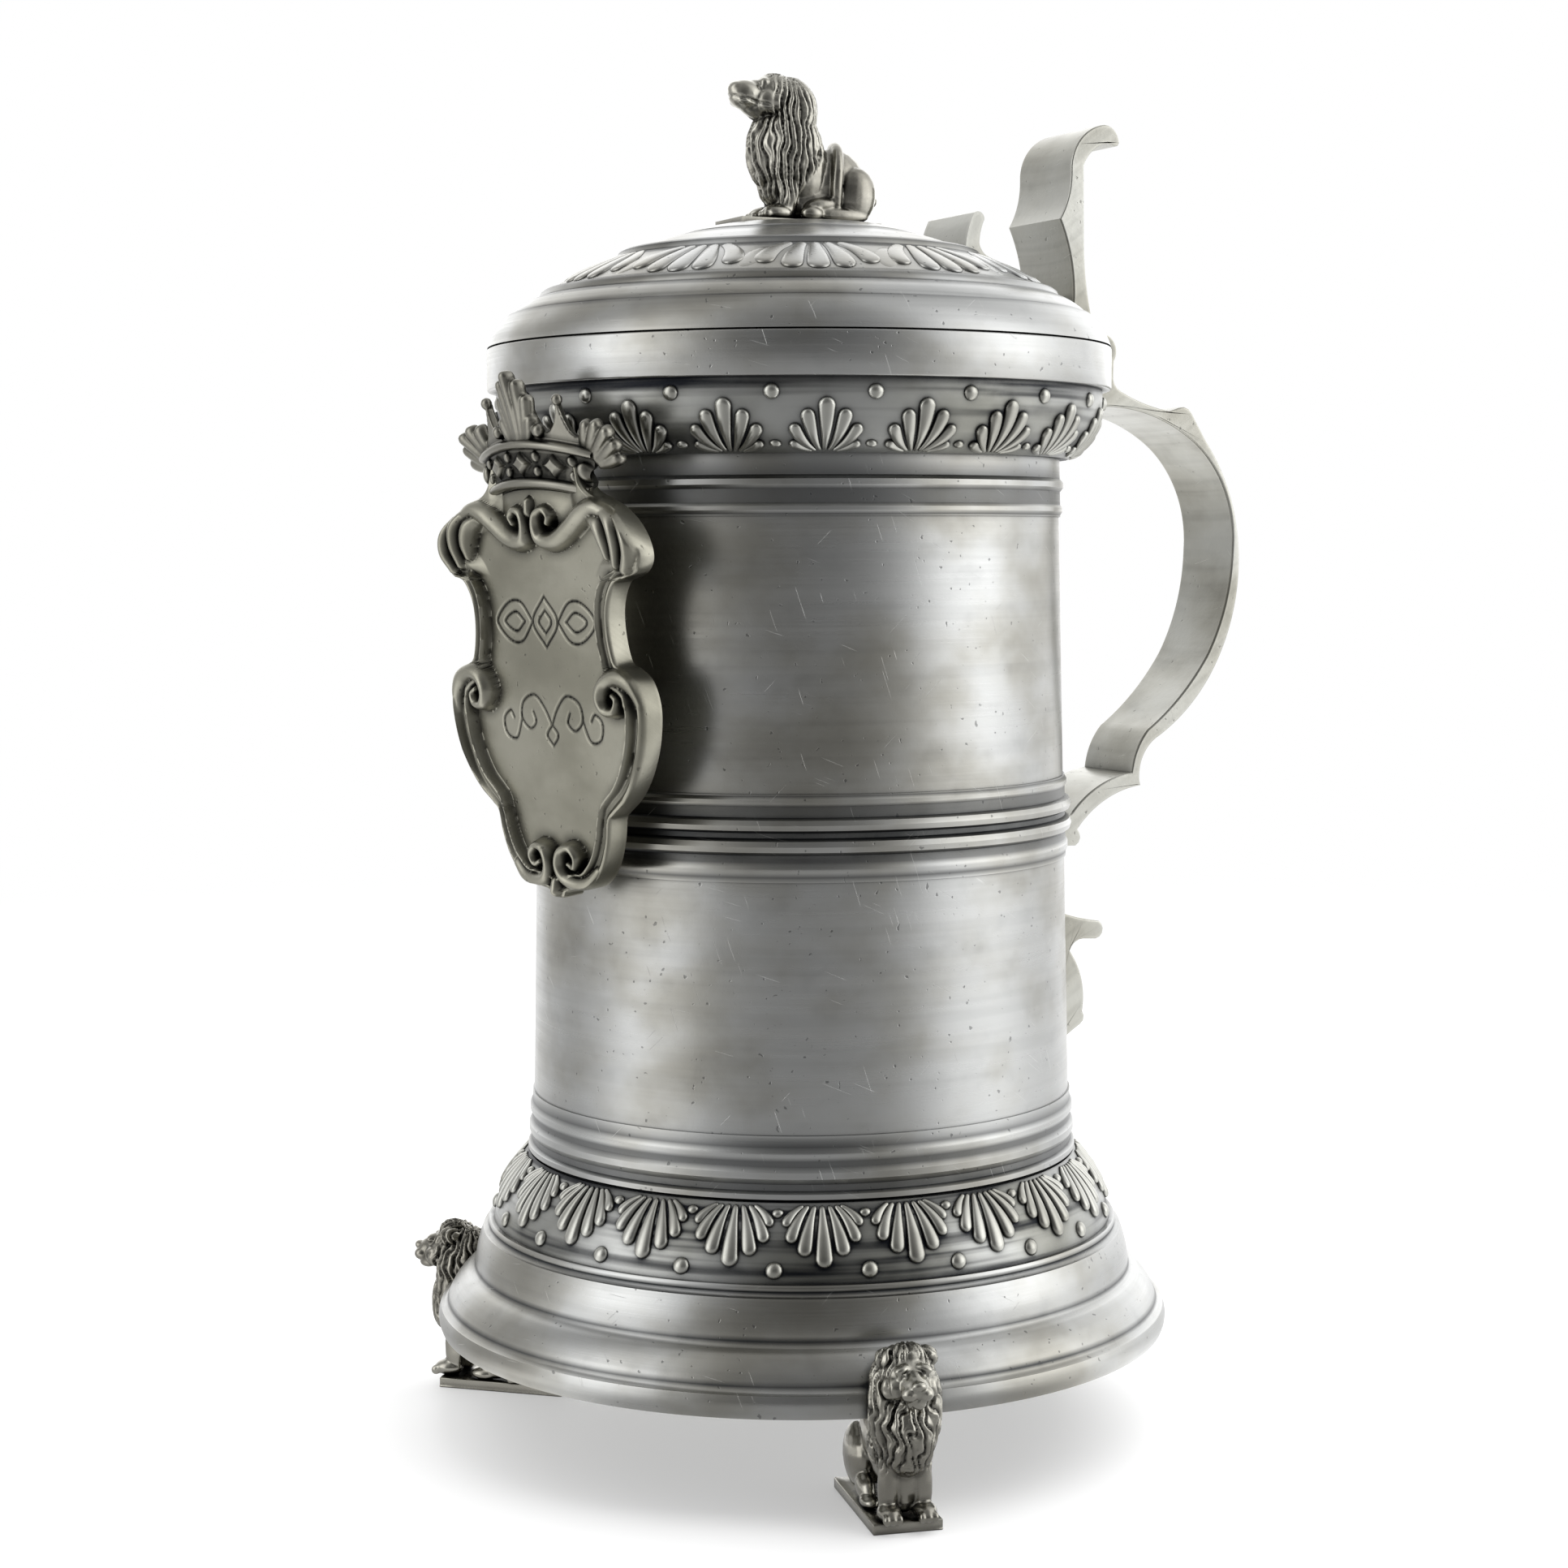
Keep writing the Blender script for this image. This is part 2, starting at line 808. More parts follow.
@dataclass
class Frieze:
    """A ring of cast palmettes and dots on a turned wall."""

    name: str
    wall: ArcWall
    count: int
    phase: float
    marks: list[Lobe | Dot]
    body: Body

    def build(self, material: Material) -> Piece:
        """Model one palmette, wrap it on the wall and copy it round.

        Args:
            material: The relief's finish.

        Returns:
            The whole ring.
        """
        unit = join(self.name, [mark.model() for mark in self.marks])
        flat = coordinates(unit)
        reach, height = self.wall.place(flat[:, 1], flat[:, 2])
        ground = self.wall.place(flat[:, 1], np.zeros(len(flat)))[0]
        angle = flat[:, 0] / ground
        reshape(unit, np.stack([reach * np.sin(angle), -reach * np.cos(angle), height], axis=1))
        unit.data.transform(Matrix.Rotation(math.radians(self.phase), 4, "Z"))
        copies = [
            turned_copy(unit, f"{self.name}_{n}", n * 360 / self.count)
            for n in range(1, self.count)
        ]
        ring = join(self.name, [unit, *copies])
        face_outwards(ring)
        smooth(ring, 60.0)
        return finish_piece(ring, self.body, material)


def fan(half: Sequence[Lobe]) -> list[Lobe]:
    """Mirror the lobes of a palmette's right half.

    Args:
        half: The lobes, of which one on the middle line stays single.

    Returns:
        The whole palmette's lobes.
    """
    whole = []
    for lobe in half:
        whole.append(lobe)
        if lobe.tip[0]:
            whole.append(
                Lobe(
                    (-lobe.root[0], lobe.root[1]),
                    (-lobe.tip[0], lobe.tip[1]),
                    lobe.root_width,
                    lobe.tip_width,
                    lobe.rise,
                    -lobe.bend,
                )
            )
    return whole


def collar_frieze() -> Frieze:
    """Palmettes that fan upwards under the lip."""
    wall = ArcWall((50.0, 180.8), (56.2, 193.4), 13.0)
    lobes = fan(
        [
            Lobe((0, 0.8), (0, 11.4), 0.8, 3.0, 1.0),
            Lobe((0.7, 0.8), (3.4, 9.4), 0.8, 2.6, 0.95, 0.5),
            Lobe((1.4, 0.8), (5.7, 6.7), 0.8, 2.3, 0.9, 0.8),
            Lobe((2.0, 0.8), (5.8, 3.2), 0.8, 1.8, 0.8, 0.7),
        ]
    )
    pitch = 2 * math.pi * 53.0 / 20 / 2
    dots = [Dot((pitch, 12.3), 2.8, 2.7, 0.85), Dot((pitch * 0.96, 2.6), 2.1, 1.6, 0.7)]
    return Frieze("collar_palmettes", wall, 20, 66.8, [*lobes, *dots], Body.TANKARD)


def base_frieze() -> Frieze:
    """Palmettes that hang from the lowest reeded band."""
    wall = ArcWall((58.4, 39.3), (51.6, 51.9), 26.0)
    top = 13.9
    lobes = fan(
        [
            Lobe((0, top), (0, top - 11.2), 1.0, 3.1, 1.0),
            Lobe((1.2, top), (3.5, top - 9.2), 0.9, 2.7, 0.95, -0.4),
            Lobe((2.3, top), (5.8, top - 6.9), 0.9, 2.3, 0.9, -0.8),
            Lobe((3.2, top), (6.6, top - 4.0), 0.8, 1.8, 0.8, -0.8),
        ]
    )
    pitch = 2 * math.pi * 55.0 / 22 / 2
    dots = [Dot((pitch, top - 11.6), 3.0, 3.0, 0.9), Dot((pitch * 0.95, top - 1.5), 2.1, 1.8, 0.7)]
    return Frieze("base_palmettes", wall, 22, 65.9, [*lobes, *dots], Body.TANKARD)


def lid_frieze() -> Frieze:
    """Broad soft palmettes that spread outwards on the lid."""
    wall = ArcWall((46.0, 211.9), (34.4, 217.7), 90.0)
    top = 12.6
    lobes = fan(
        [
            Lobe((0, top), (0, 0.4), 2.0, 4.2, 0.6),
            Lobe((2.0, top), (4.9, 0.8), 1.9, 4.0, 0.6, -0.6),
            Lobe((4.0, top), (9.7, 2.8), 1.9, 3.8, 0.55, -1.9),
        ]
    )
    bump = [Dot((12.5, 6.0), 4.4, 9.6, 0.25)]
    return Frieze("lid_palmettes", wall, 11, 66.5, [*lobes, *bump], Body.LID)


# ---- turned parts and straps ----


def arc_points(start: Point, end: Point, radius: float) -> list[Point]:
    """Walk along an arc.

    Args:
        start: Where it starts.
        end: Where it ends.
        radius: Its radius; a positive one bulges to the right of the way.

    Returns:
        Points after the start, up to and with the end, about a millimetre apart.
    """
    (x0, y0), (x1, y1) = start, end
    half = math.hypot(x1 - x0, y1 - y0) / 2
    rise = math.copysign(math.sqrt(radius * radius - half * half), radius)
    along, up = (x1 - x0) / (2 * half), (y1 - y0) / (2 * half)
    centre = ((x0 + x1) / 2 - up * rise, (y0 + y1) / 2 + along * rise)
    first = math.atan2(y0 - centre[1], x0 - centre[0])
    sweep = 2 * math.asin(min(1.0, half / abs(radius))) * (1 if radius > 0 else -1)
    count = max(3, int(abs(sweep * radius) / 0.9))
    return [
        (
            centre[0] + abs(radius) * math.cos(first + sweep * step / count),
            centre[1] + abs(radius) * math.sin(first + sweep * step / count),
        )
        for step in range(1, count + 1)
    ]


def walk_outline(outline: Sequence[Point]) -> list[Point]:
    """Turn an outline to plain points.

    Args:
        outline: Its corners; a third number is the radius of the arc that leads there.

    Returns:
        The outline with its arcs drawn in short steps.
    """
    line = [outline[0][:2]]
    for point in [*outline[1:], outline[0]]:
        if len(point) == 3:
            line += arc_points(line[-1], point[:2], point[2])
        else:
            line.append(point[:2])
    return line[:-1]


@dataclass
class Turning:
    """A part turned on a lathe: a closed outline in reach and height, spun about the axis.

    Grooves are the heights of the lines where tarnish has stayed.
    """

    name: str
    stands_for: str
    outline: list[Point]
    body: Body = Body.TANKARD
    slot: Slot = Slot.TURNED
    grooves: Sequence[float] = ()
    steps: int = 288

    def build(self, material: Material) -> Piece:
        """Spin the outline finely, so that its reflections run round without facets.

        Args:
            material: The part's finish.

        Returns:
            The turned part.
        """
        line = walk_outline(self.outline)
        mesh = bpy.data.meshes.new(self.name)
        corners = [(0.0, -reach * MM, height * MM) for reach, height in line]
        mesh.from_pydata(corners, [(n, (n + 1) % len(line)) for n in range(len(line))], [])
        part = bpy.data.objects.new(self.name, mesh)
        bpy.context.scene.collection.objects.link(part)
        select_only(part)
        bpy.ops.object.mode_set(mode="EDIT")
        bpy.ops.mesh.select_all(action="SELECT")
        bpy.ops.mesh.spin(steps=self.steps, angle=2 * math.pi, center=(0, 0, 0), axis=(0, 0, 1))
        bpy.ops.object.mode_set(mode="OBJECT")
        face_outwards(part)
        heights = coordinates(part)[:, 2]
        cuts = np.zeros(len(heights))
        for level in self.grooves:
            cuts = np.maximum(cuts, 0.7 * np.clip(1 - np.abs(heights - level) / 0.55, 0, 1))
        mark_cuts(part, cuts)
        smooth(part, 30.0)
        return finish_piece(part, self.body, material, [self.stands_for])


def drum_reach(height: float) -> float:
    """Return how far the drum's wall is from the axis at a height."""
    return 50.8 - (height - 49.5) * 2.75 / 134.1


def reeded_band(bottom: float, top: float, beads: Sequence[Point]) -> list[Point]:
    """Draw a band of beads on the drum's wall.

    Args:
        bottom: The band's lower edge.
        top: Its upper edge.
        beads: The level, half height and rise of each bead, from below.

    Returns:
        The band's outline.
    """
    strip, bite = 0.3, 0.4
    outline: list[Point] = [
        (drum_reach(bottom) - bite, bottom),
        (drum_reach(bottom) + strip, bottom),
    ]
    for level, half, rise in beads:
        radius = (half**2 + rise**2) / (2 * rise)
        outline.append((drum_reach(level - half) + strip, level - half))
        outline.append((drum_reach(level + half) + strip, level + half, radius))
    return [*outline, (drum_reach(top) + strip, top), (drum_reach(top) - bite, top)]


BASE_SKIRT = [
    (68.5, 18.8),
    (68.5, 22.8, 4.3),
    (67.2, 24.0, -1.5),
    (63.4, 29.0, 12.0),
    (62.0, 30.3, -1.7),
    (60.4, 37.3, 20.0),
    (59.3, 38.1, -1.0),
    (59.2, 39.3, 0.9),
    (54.0, 39.3),
    (54.0, 37.3),
    (58.4, 36.3),
    (59.9, 29.5),
    (65.2, 23.0),
    (65.2, 18.8),
]
BASE_FRIEZE_RING = [
    (55.2, 39.3),
    (58.4, 39.3),
    (51.6, 51.9, 26.0),
    (50.751, 51.9),
    (50.8, 49.5),
    (49.2, 49.5),
    (55.2, 41.1),
]
DRUM = [(49.2, 49.5), (50.8, 49.5), (48.05, 183.6), (46.45, 183.6)]
LOWER_BEADS = [(52.9, 0.95, 0.85), (56.5, 1.55, 0.65), (60.2, 1.25, 0.5)]
MIDDLE_BEADS = [(109.5, 1.3, 0.45), (113.5, 1.5, 1.15), (117.2, 1.35, 1.15), (121.3, 0.9, 0.4)]
UPPER_BEADS = [(171.5, 0.95, 0.45), (176.0, 1.2, 0.7)]
COLLAR_FRIEZE_RING = [
    (48.1, 180.8),
    (50.0, 180.8),
    (56.2, 193.4, 13.0),
    (53.6, 193.4),
    (53.0, 190.0),
    (50.8, 186.0),
    (46.45, 183.6),
    (48.05, 183.6),
]
LIP_RING = [
    (53.6, 193.4),
    (57.5, 193.4),
    (57.9, 193.8, 0.45),
    (57.9, 200.8),
    (57.5, 201.2, 0.45),
    (53.6, 201.2),
]
LID_DOME = [
    (57.8, 201.4),
    (54.0, 207.2, 14.0),
    (53.4, 207.0),
    (53.2, 207.5),
    (48.9, 210.3, 12.0),
    (48.4, 210.1),
    (48.2, 210.7),
    (46.5, 212.0, 1.6),
    (46.1, 211.7),
    (45.9, 212.0),
    (34.4, 217.7, 90.0),
    (34.1, 217.5),
    (33.9, 218.1),
    (31.8, 219.1, 1.5),
    (31.5, 218.8),
    (31.2, 219.1),
    (22.0, 222.1, 60.0),
    (21.6, 221.8),
    (21.2, 222.4),
    (15.7, 223.8, 30.0),
    (0.0, 223.8),
    (0.0, 222.1),
    (21.5, 220.6),
    (34.0, 216.3),
    (46.5, 210.3),
    (50.6, 205.5),
    (50.6, 201.4),
]

# The levels of the fine lines between the lid's steps.
LID_GROOVES = (207.0, 210.1, 211.7, 217.5, 218.8, 221.8)


def bead_edges(beads: Sequence[Point]) -> list[float]:
    """Return the heights of the lines between a band's beads."""
    return [level + side * half for level, half, _ in beads for side in (-1, 1)]


TURNINGS = [
    Turning("spun_base_skirt", "base_skirt", BASE_SKIRT, grooves=(24.0, 30.3, 38.1)),
    Turning("spun_base_frieze_ring", "base_frieze_ring", BASE_FRIEZE_RING, slot=Slot.FRIEZE),
    Turning("spun_drum", "drum", DRUM),
    *(
        Turning(
            f"spun_{place}_band",
            f"{place}_reeded_band",
            reeded_band(bottom, top, beads),
            grooves=bead_edges(beads),
        )
        for place, bottom, top, beads in (
            ("lower", 51.9, 63.4, LOWER_BEADS),
            ("middle", 107.3, 122.5, MIDDLE_BEADS),
            ("upper", 170.2, 180.8, UPPER_BEADS),
        )
    ),
    Turning("spun_collar_frieze_ring", "collar_frieze_ring", COLLAR_FRIEZE_RING, slot=Slot.FRIEZE),
    Turning("spun_lip", "lip_ring", LIP_RING),
    Turning("spun_lid", "lid_dome", LID_DOME, body=Body.LID, grooves=LID_GROOVES),
]


# The hinge pin's reach and height, and the size of the knuckles round it.
HINGE_PLACE = (61.9, 202.4)
KNUCKLE_RADIUS = 3.4


@dataclass
class Strap:
    """A cast strap: a side outline in reach and height, with a width and softened edges."""

    name: str
    outline: list[Point]
    width: float
    edge: float
    body: Body
    stands_for: str
    knuckles: list[tuple[float, float]] = field(default_factory=list)

    def build(self, material: Material) -> Piece:
        """Sweep the outline across the strap's width with rounded edges.

        The strap is thin and tightly curled, where a bevel of its two flat sides would fold
        over itself, so its rounded edges are rings that draw in step by step.

        Args:
            material: The strap's finish.

        Returns:
            The strap with its hinge knuckles.
        """
        line = np.array(walk_outline(self.outline))
        before, after = line - np.roll(line, 1, axis=0), np.roll(line, -1, axis=0) - line
        before /= np.linalg.norm(before, axis=1)[:, None]
        way = before + after / np.linalg.norm(after, axis=1)[:, None]
        inwards = np.stack([-way[:, 1], way[:, 0]], axis=1) / np.linalg.norm(way, axis=1)[:, None]
        turns = np.radians(np.linspace(0, 90, 5))
        flat, count = self.width / 2 - self.edge, len(line)
        steps = [
            (-flat - self.edge * math.sin(turn), self.edge * (1 - math.cos(turn)))
            for turn in turns[::-1]
        ]
        steps += [(-across, inset) for across, inset in steps[::-1]]
        rings = [
            np.column_stack([np.full(count, across), line + inwards * inset])
            for across, inset in steps
        ]
        faces = []
        for ring in range(len(rings) - 1):
            for k in range(count):
                here, there = ring * count, (ring + 1) * count
                faces.append((here + k, here + (k + 1) % count, there + (k + 1) % count, there + k))
        cap = tessellate_polygon([[Vector((*point, 0)) for point in line]])
        last = (len(rings) - 1) * count
        faces += [tuple(face) for face in cap]
        faces += [tuple(last + corner for corner in face) for face in cap]
        mesh = bpy.data.meshes.new(self.name)
        mesh.from_pydata((np.vstack(rings) * MM).tolist(), [], faces)
        strap = bpy.data.objects.new(self.name, mesh)
        bpy.context.scene.collection.objects.link(strap)
        face_outwards(strap)
        barrels = [self._knuckle(start, length) for start, length in self.knuckles]
        strap = join(self.name, [strap, *barrels])
        smooth(strap, 35.0)
        apply_modifier(strap, "WEIGHTED_NORMAL", weight=80, keep_sharp=True)
        return finish_piece(strap, self.body, material, [self.stands_for])

    @staticmethod
    def _knuckle(start: float, length: float) -> Piece:
        """Add one hinge knuckle with softened ends.

        Args:
            start: Where the knuckle begins along the pin.
            length: How long it is.

        Returns:
            The knuckle.
        """
        deselect_all()
        bpy.ops.mesh.primitive_cylinder_add(
            vertices=40, radius=KNUCKLE_RADIUS * MM, depth=length * MM
        )
        barrel = bpy.context.object
        middle = Vector((start + length / 2, *HINGE_PLACE)) * MM
        barrel.data.transform(Matrix.Translation(middle) @ Matrix.Rotation(math.pi / 2, 4, "Y"))
        apply_modifier(barrel, "BEVEL", width=0.35 * MM, segments=2, limit_method="ANGLE")
        return barrel


HANDLE_OUTLINE = [
    (50.9, 106.6),
    (56.6, 106.4),
    (57.0, 109.6, 1.9),
    (71.8, 117.6, -22.0),
    (76.3, 127.3, -8.6),
    (88.5, 139.0, 38.0),
    (95.3, 162.9, 42.0),
    (86.9, 185.5, 38.0),
    (83.4, 190.9),
    (80.4, 191.9, 2.4),
    (78.1, 191.2),
    (66.6, 194.8, -40.0),
    (64.8, 198.1, -3.0),
    (64.9, 200.8),
    (58.6, 200.8),
    (58.0, 200.2),
    (58.0, 194.2),
    (62.2, 191.7),
    (84.0, 185.1, -35.0),
    (93.5, 164.1, -24.0),
    (87.7, 143.2, -44.0),
    (73.4, 128.6, -52.0),
    (69.6, 120.3, 14.2),
    (55.3, 112.6, 21.4),
    (50.9, 111.9),
]
THUMB_OUTLINE = [
    (54.8, 210.6, -32.0),
    (59.0, 208.8),
    (57.3, 221.3, -66.0),
    (57.1, 237.5),
    (62.6, 242.0, -7.3),
    (64.3, 241.5),
    (65.1, 242.8, 0.85),
    (61.8, 245.5, 3.3),
    (54.2, 236.4, 8.8),
    (51.7, 227.2, -16.6),
]
BRACKET_OUTLINE = [
    (50.6, 63.5),
    (59.2, 70.6, -30.0),
    (59.7, 73.2, 1.7),
    (56.7, 85.4, 15.3),
    (59.8, 87.6, -3.2),
    (62.8, 87.4),
    (63.4, 91.0, 1.9),
    (55.5, 92.8, -40.0),
    (49.9, 93.2),
]
STRAPS = [
    Strap(
        "rounded_handle",
        HANDLE_OUTLINE,
        width=17.0,
        edge=0.4,
        body=Body.TANKARD,
        stands_for="handle",
        knuckles=[(-8.7, 4.7), (4.0, 4.7)],
    ),
    Strap(
        "scrolled_thumbpiece",
        THUMB_OUTLINE,
        width=18.6,
        edge=0.3,
        body=Body.LID,
        stands_for="thumbpiece",
    ),
    Strap(
        "handle_foot_bracket",
        BRACKET_OUTLINE,
        width=13.0,
        edge=0.4,
        body=Body.TANKARD,
        stands_for="handle_bracket",
    ),
]


# ---- shield ----


def on_shield() -> Matrix:
    """Return the place of the shield's own face in the row frame, in metres."""
    turn = Matrix.Rotation(math.radians(16.0), 4, "Z")
    stand = Matrix.Translation(Vector((0, -57.9, 110.0)) * MM)
    return turn @ stand @ Matrix.Rotation(math.radians(4.46), 4, "X")


def stroke_field(x: Array, z: Array, path: Sequence[Point], power: float = 0.6) -> Array:
    """Measure a rounded stroke's height over a face.

    Args:
        x: Each point's place across.
        z: Each point's place up.
        path: Rows of across, up, half width and height.
        power: How square the stroke's section is; smaller is squarer.

    Returns:
        The stroke's height at each point, 0 where it isn't.
    """
    if len(path) > 1:
        rows = through(path, 7)
    else:
        # A single point is a dot: a stroke too short to see.
        rows = np.array([path[0], path[0]], float) + [[0] * 4, [1e-4, 0, 0, 0]]
    best = np.zeros_like(x)
    for (ax, az, aw, ah), (bx, bz, bw, bh) in zip(rows[:-1], rows[1:]):
        dx, dz = bx - ax, bz - az
        share = np.clip(((x - ax) * dx + (z - az) * dz) / (dx * dx + dz * dz), 0, 1)
        away = np.hypot(x - ax - share * dx, z - az - share * dz)
        width, tall = aw + (bw - aw) * share, ah + (bh - ah) * share
        best = np.maximum(best, tall * np.clip(1 - (away / width) ** 2, 0, 1) ** power)
    return best


def edge_distance(x: Array, z: Array, line: Array) -> Array:
    """Measure how far points lie from a line.

    Args:
        x: The points' places across.
        z: Their heights.
        line: The line's own points.

    Returns:
        Each point's distance to the nearest stretch of the line.
    """
    best = np.full_like(x, 1e9)
    for (ax, az), (bx, bz) in zip(line[:-1], line[1:]):
        dx, dz = bx - ax, bz - az
        share = np.clip(((x - ax) * dx + (z - az) * dz) / max(dx * dx + dz * dz, 1e-12), 0, 1)
        best = np.minimum(best, np.hypot(x - ax - share * dx, z - az - share * dz))
    return best


SHIELD_EDGE = [
    (0.5, -6.2),
    (1.6, -5.9),
    (2.4, -4.9),
    (4.8, -4.5),
    (8.0, -4.1),
    (10.6, -2.5),
    (13.0, 0.5),
    (14.6, 4.5),
    (15.4, 8.4),
    (16.6, 9.6),
    (20.0, 12.2),
    (23.0, 16.0),
    (25.3, 21.0),
    (26.3, 26.0),
    (26.0, 29.5),
    (24.5, 32.6),
    (22.0, 34.3),
    (20.0, 35.1),
    (19.1, 36.7),
    (18.4, 40.0),
    (18.3, 43.5),
    (19.0, 46.5),
    (20.8, 49.2),
    (23.2, 49.9),
    (25.6, 51.0),
    (26.9, 53.2),
    (26.2, 56.2),
    (24.0, 59.2),
    (21.0, 61.5),
    (17.8, 63.0),
    (14.6, 64.2),
    (12.6, 66.0),
    (11.6, 69.0),
]

# Raised strokes of the shield's right half: across, up, half width, height.
SHIELD_STROKES = [
    # S-scroll under the crown, from the shoulder to its volute beside the middle
    [
        (19.8, 60.6, 1.4, 2.2),
        (16.6, 61.8, 1.9, 2.7),
        (13.4, 61.0, 2.1, 2.9),
        (10.4, 59.0, 2.1, 2.8),
        (7.6, 57.2, 2.0, 2.8),
        (4.8, 56.2, 1.9, 2.8),
        (2.3, 56.7, 1.7, 2.9),
        (1.5, 58.8, 1.35, 3.0),
        (2.0, 60.9, 1.2, 3.0),
        (3.9, 61.7, 1.1, 2.9),
        (5.2, 60.6, 0.95, 2.7),
        (4.7, 59.4, 0.85, 2.5),
    ],
    # three twisted leaves of the shoulder
    [(15.4, 60.2, 1.3, 2.0), (17.8, 58.8, 1.9, 3.0), (18.9, 56.2, 1.7, 2.8), (19.0, 53.6, 1.0, 1.8)],
    [(18.6, 61.4, 1.2, 2.2), (21.3, 59.0, 1.7, 3.2), (22.0, 55.8, 1.6, 3.0), (21.2, 52.2, 1.1, 2.0)],
    [(21.8, 60.6, 1.1, 2.0), (24.4, 57.6, 1.5, 3.0), (25.0, 54.4, 1.6, 2.9), (23.4, 51.4, 1.3, 2.1)],
    # rolled end of the C-scroll at the waist
    [
        (25.2, 26.0, 1.1, 1.6),
        (25.0, 29.4, 1.6, 2.2),
        (23.0, 32.2, 2.0, 2.8),
        (19.8, 33.2, 2.0, 3.1),
        (16.9, 32.2, 1.8, 3.3),
        (15.7, 29.8, 1.65, 3.3),
        (16.7, 27.6, 1.4, 3.1),
        (18.9, 27.5, 1.1, 2.8),
        (19.8, 29.2, 0.85, 2.6),
        (18.7, 30.2, 0.7, 2.4),
    ],
    # volute beside the tip
    [
        (11.0, -0.8, 1.4, 1.8),
        (8.6, -2.8, 1.7, 2.3),
        (5.6, -3.3, 1.7, 2.6),
        (2.6, -2.4, 1.6, 2.9),
        (1.4, 0.0, 1.4, 3.1),
        (2.3, 2.4, 1.3, 3.1),
        (4.6, 3.0, 1.15, 2.9),
        (6.1, 1.4, 1.0, 2.7),
        (5.4, -0.3, 0.9, 2.5),
        (3.9, 0.2, 0.75, 2.4),
    ],
    # the beads on the middle line
    [(0.0, 61.4, 1.5, 2.9), (0.0, 63.0, 1.4, 2.8)],
    [(0.0, -3.2, 1.5, 2.6), (0.0, -4.8, 1.6, 3.0)],
]
# Fine lines cut into the field, right half: an ornament of linked loops and a scroll.
# The real one carries lettering there, which isn't repeated.
FIELD_LINES = [
    [(0.0, 46.6), (3.4, 42.2), (0.0, 37.8)],
    [(0.0, 44.2), (1.7, 42.2), (0.0, 40.2)],
    [(3.4, 42.2), (6.6, 45.6), (10.2, 45.4), (13.4, 42.2), (10.2, 39.0), (6.6, 38.8), (3.4, 42.2)],
    [(5.6, 42.2), (8.2, 43.9), (11.2, 42.2), (8.2, 40.5), (5.6, 42.2)],
    [(0.0, 24.2), (1.8, 27.2), (4.4, 29.4), (7.6, 28.2), (8.3, 25.2), (6.2, 23.4), (4.4, 24.6), (5.0, 26.4)],
    [(8.3, 25.2), (10.2, 21.6), (12.9, 22.2), (13.4, 25.0), (11.6, 26.4), (10.6, 25.2)],
    [(0.0, 20.6), (1.5, 22.4), (0.0, 24.2)],
]
RIM_WIDTH = [
    (-6, 3.0),
    (0, 3.3),
    (8, 2.9),
    (9.5, 2.7),
    (12, 3.4),
    (18, 4.4),
    (25, 5.1),
    (29, 5.0),
    (33, 3.6),
    (36, 2.8),
    (42, 2.9),
    (48, 3.1),
    (51, 2.6),
]
# The engraved lines: half their width and their depth, and how much tarnish they hold.
LINE_HALF_WIDTH = 0.36
LINE_DEPTH = 0.3
LINE_TARNISH = 0.8
# Height of the moulded rim from its outer edge inwards, as a share of its width.
RIM_PLAIN = [
    (0, 0.7),
    (0.06, 1.4),
    (0.2, 1.6),
    (0.42, 1.0),
    (0.66, 1.05),
    (0.84, 2.1),
    (0.92, 2.1),
    (1.1, 0),
]
RIM_HOLLOW = [
    (0, 0.7),
    (0.06, 1.7),
    (0.2, 2.2),
    (0.38, 0.7),
    (0.64, 0.5),
    (0.82, 2.1),
    (0.9, 2.1),
    (1.06, 0),
]


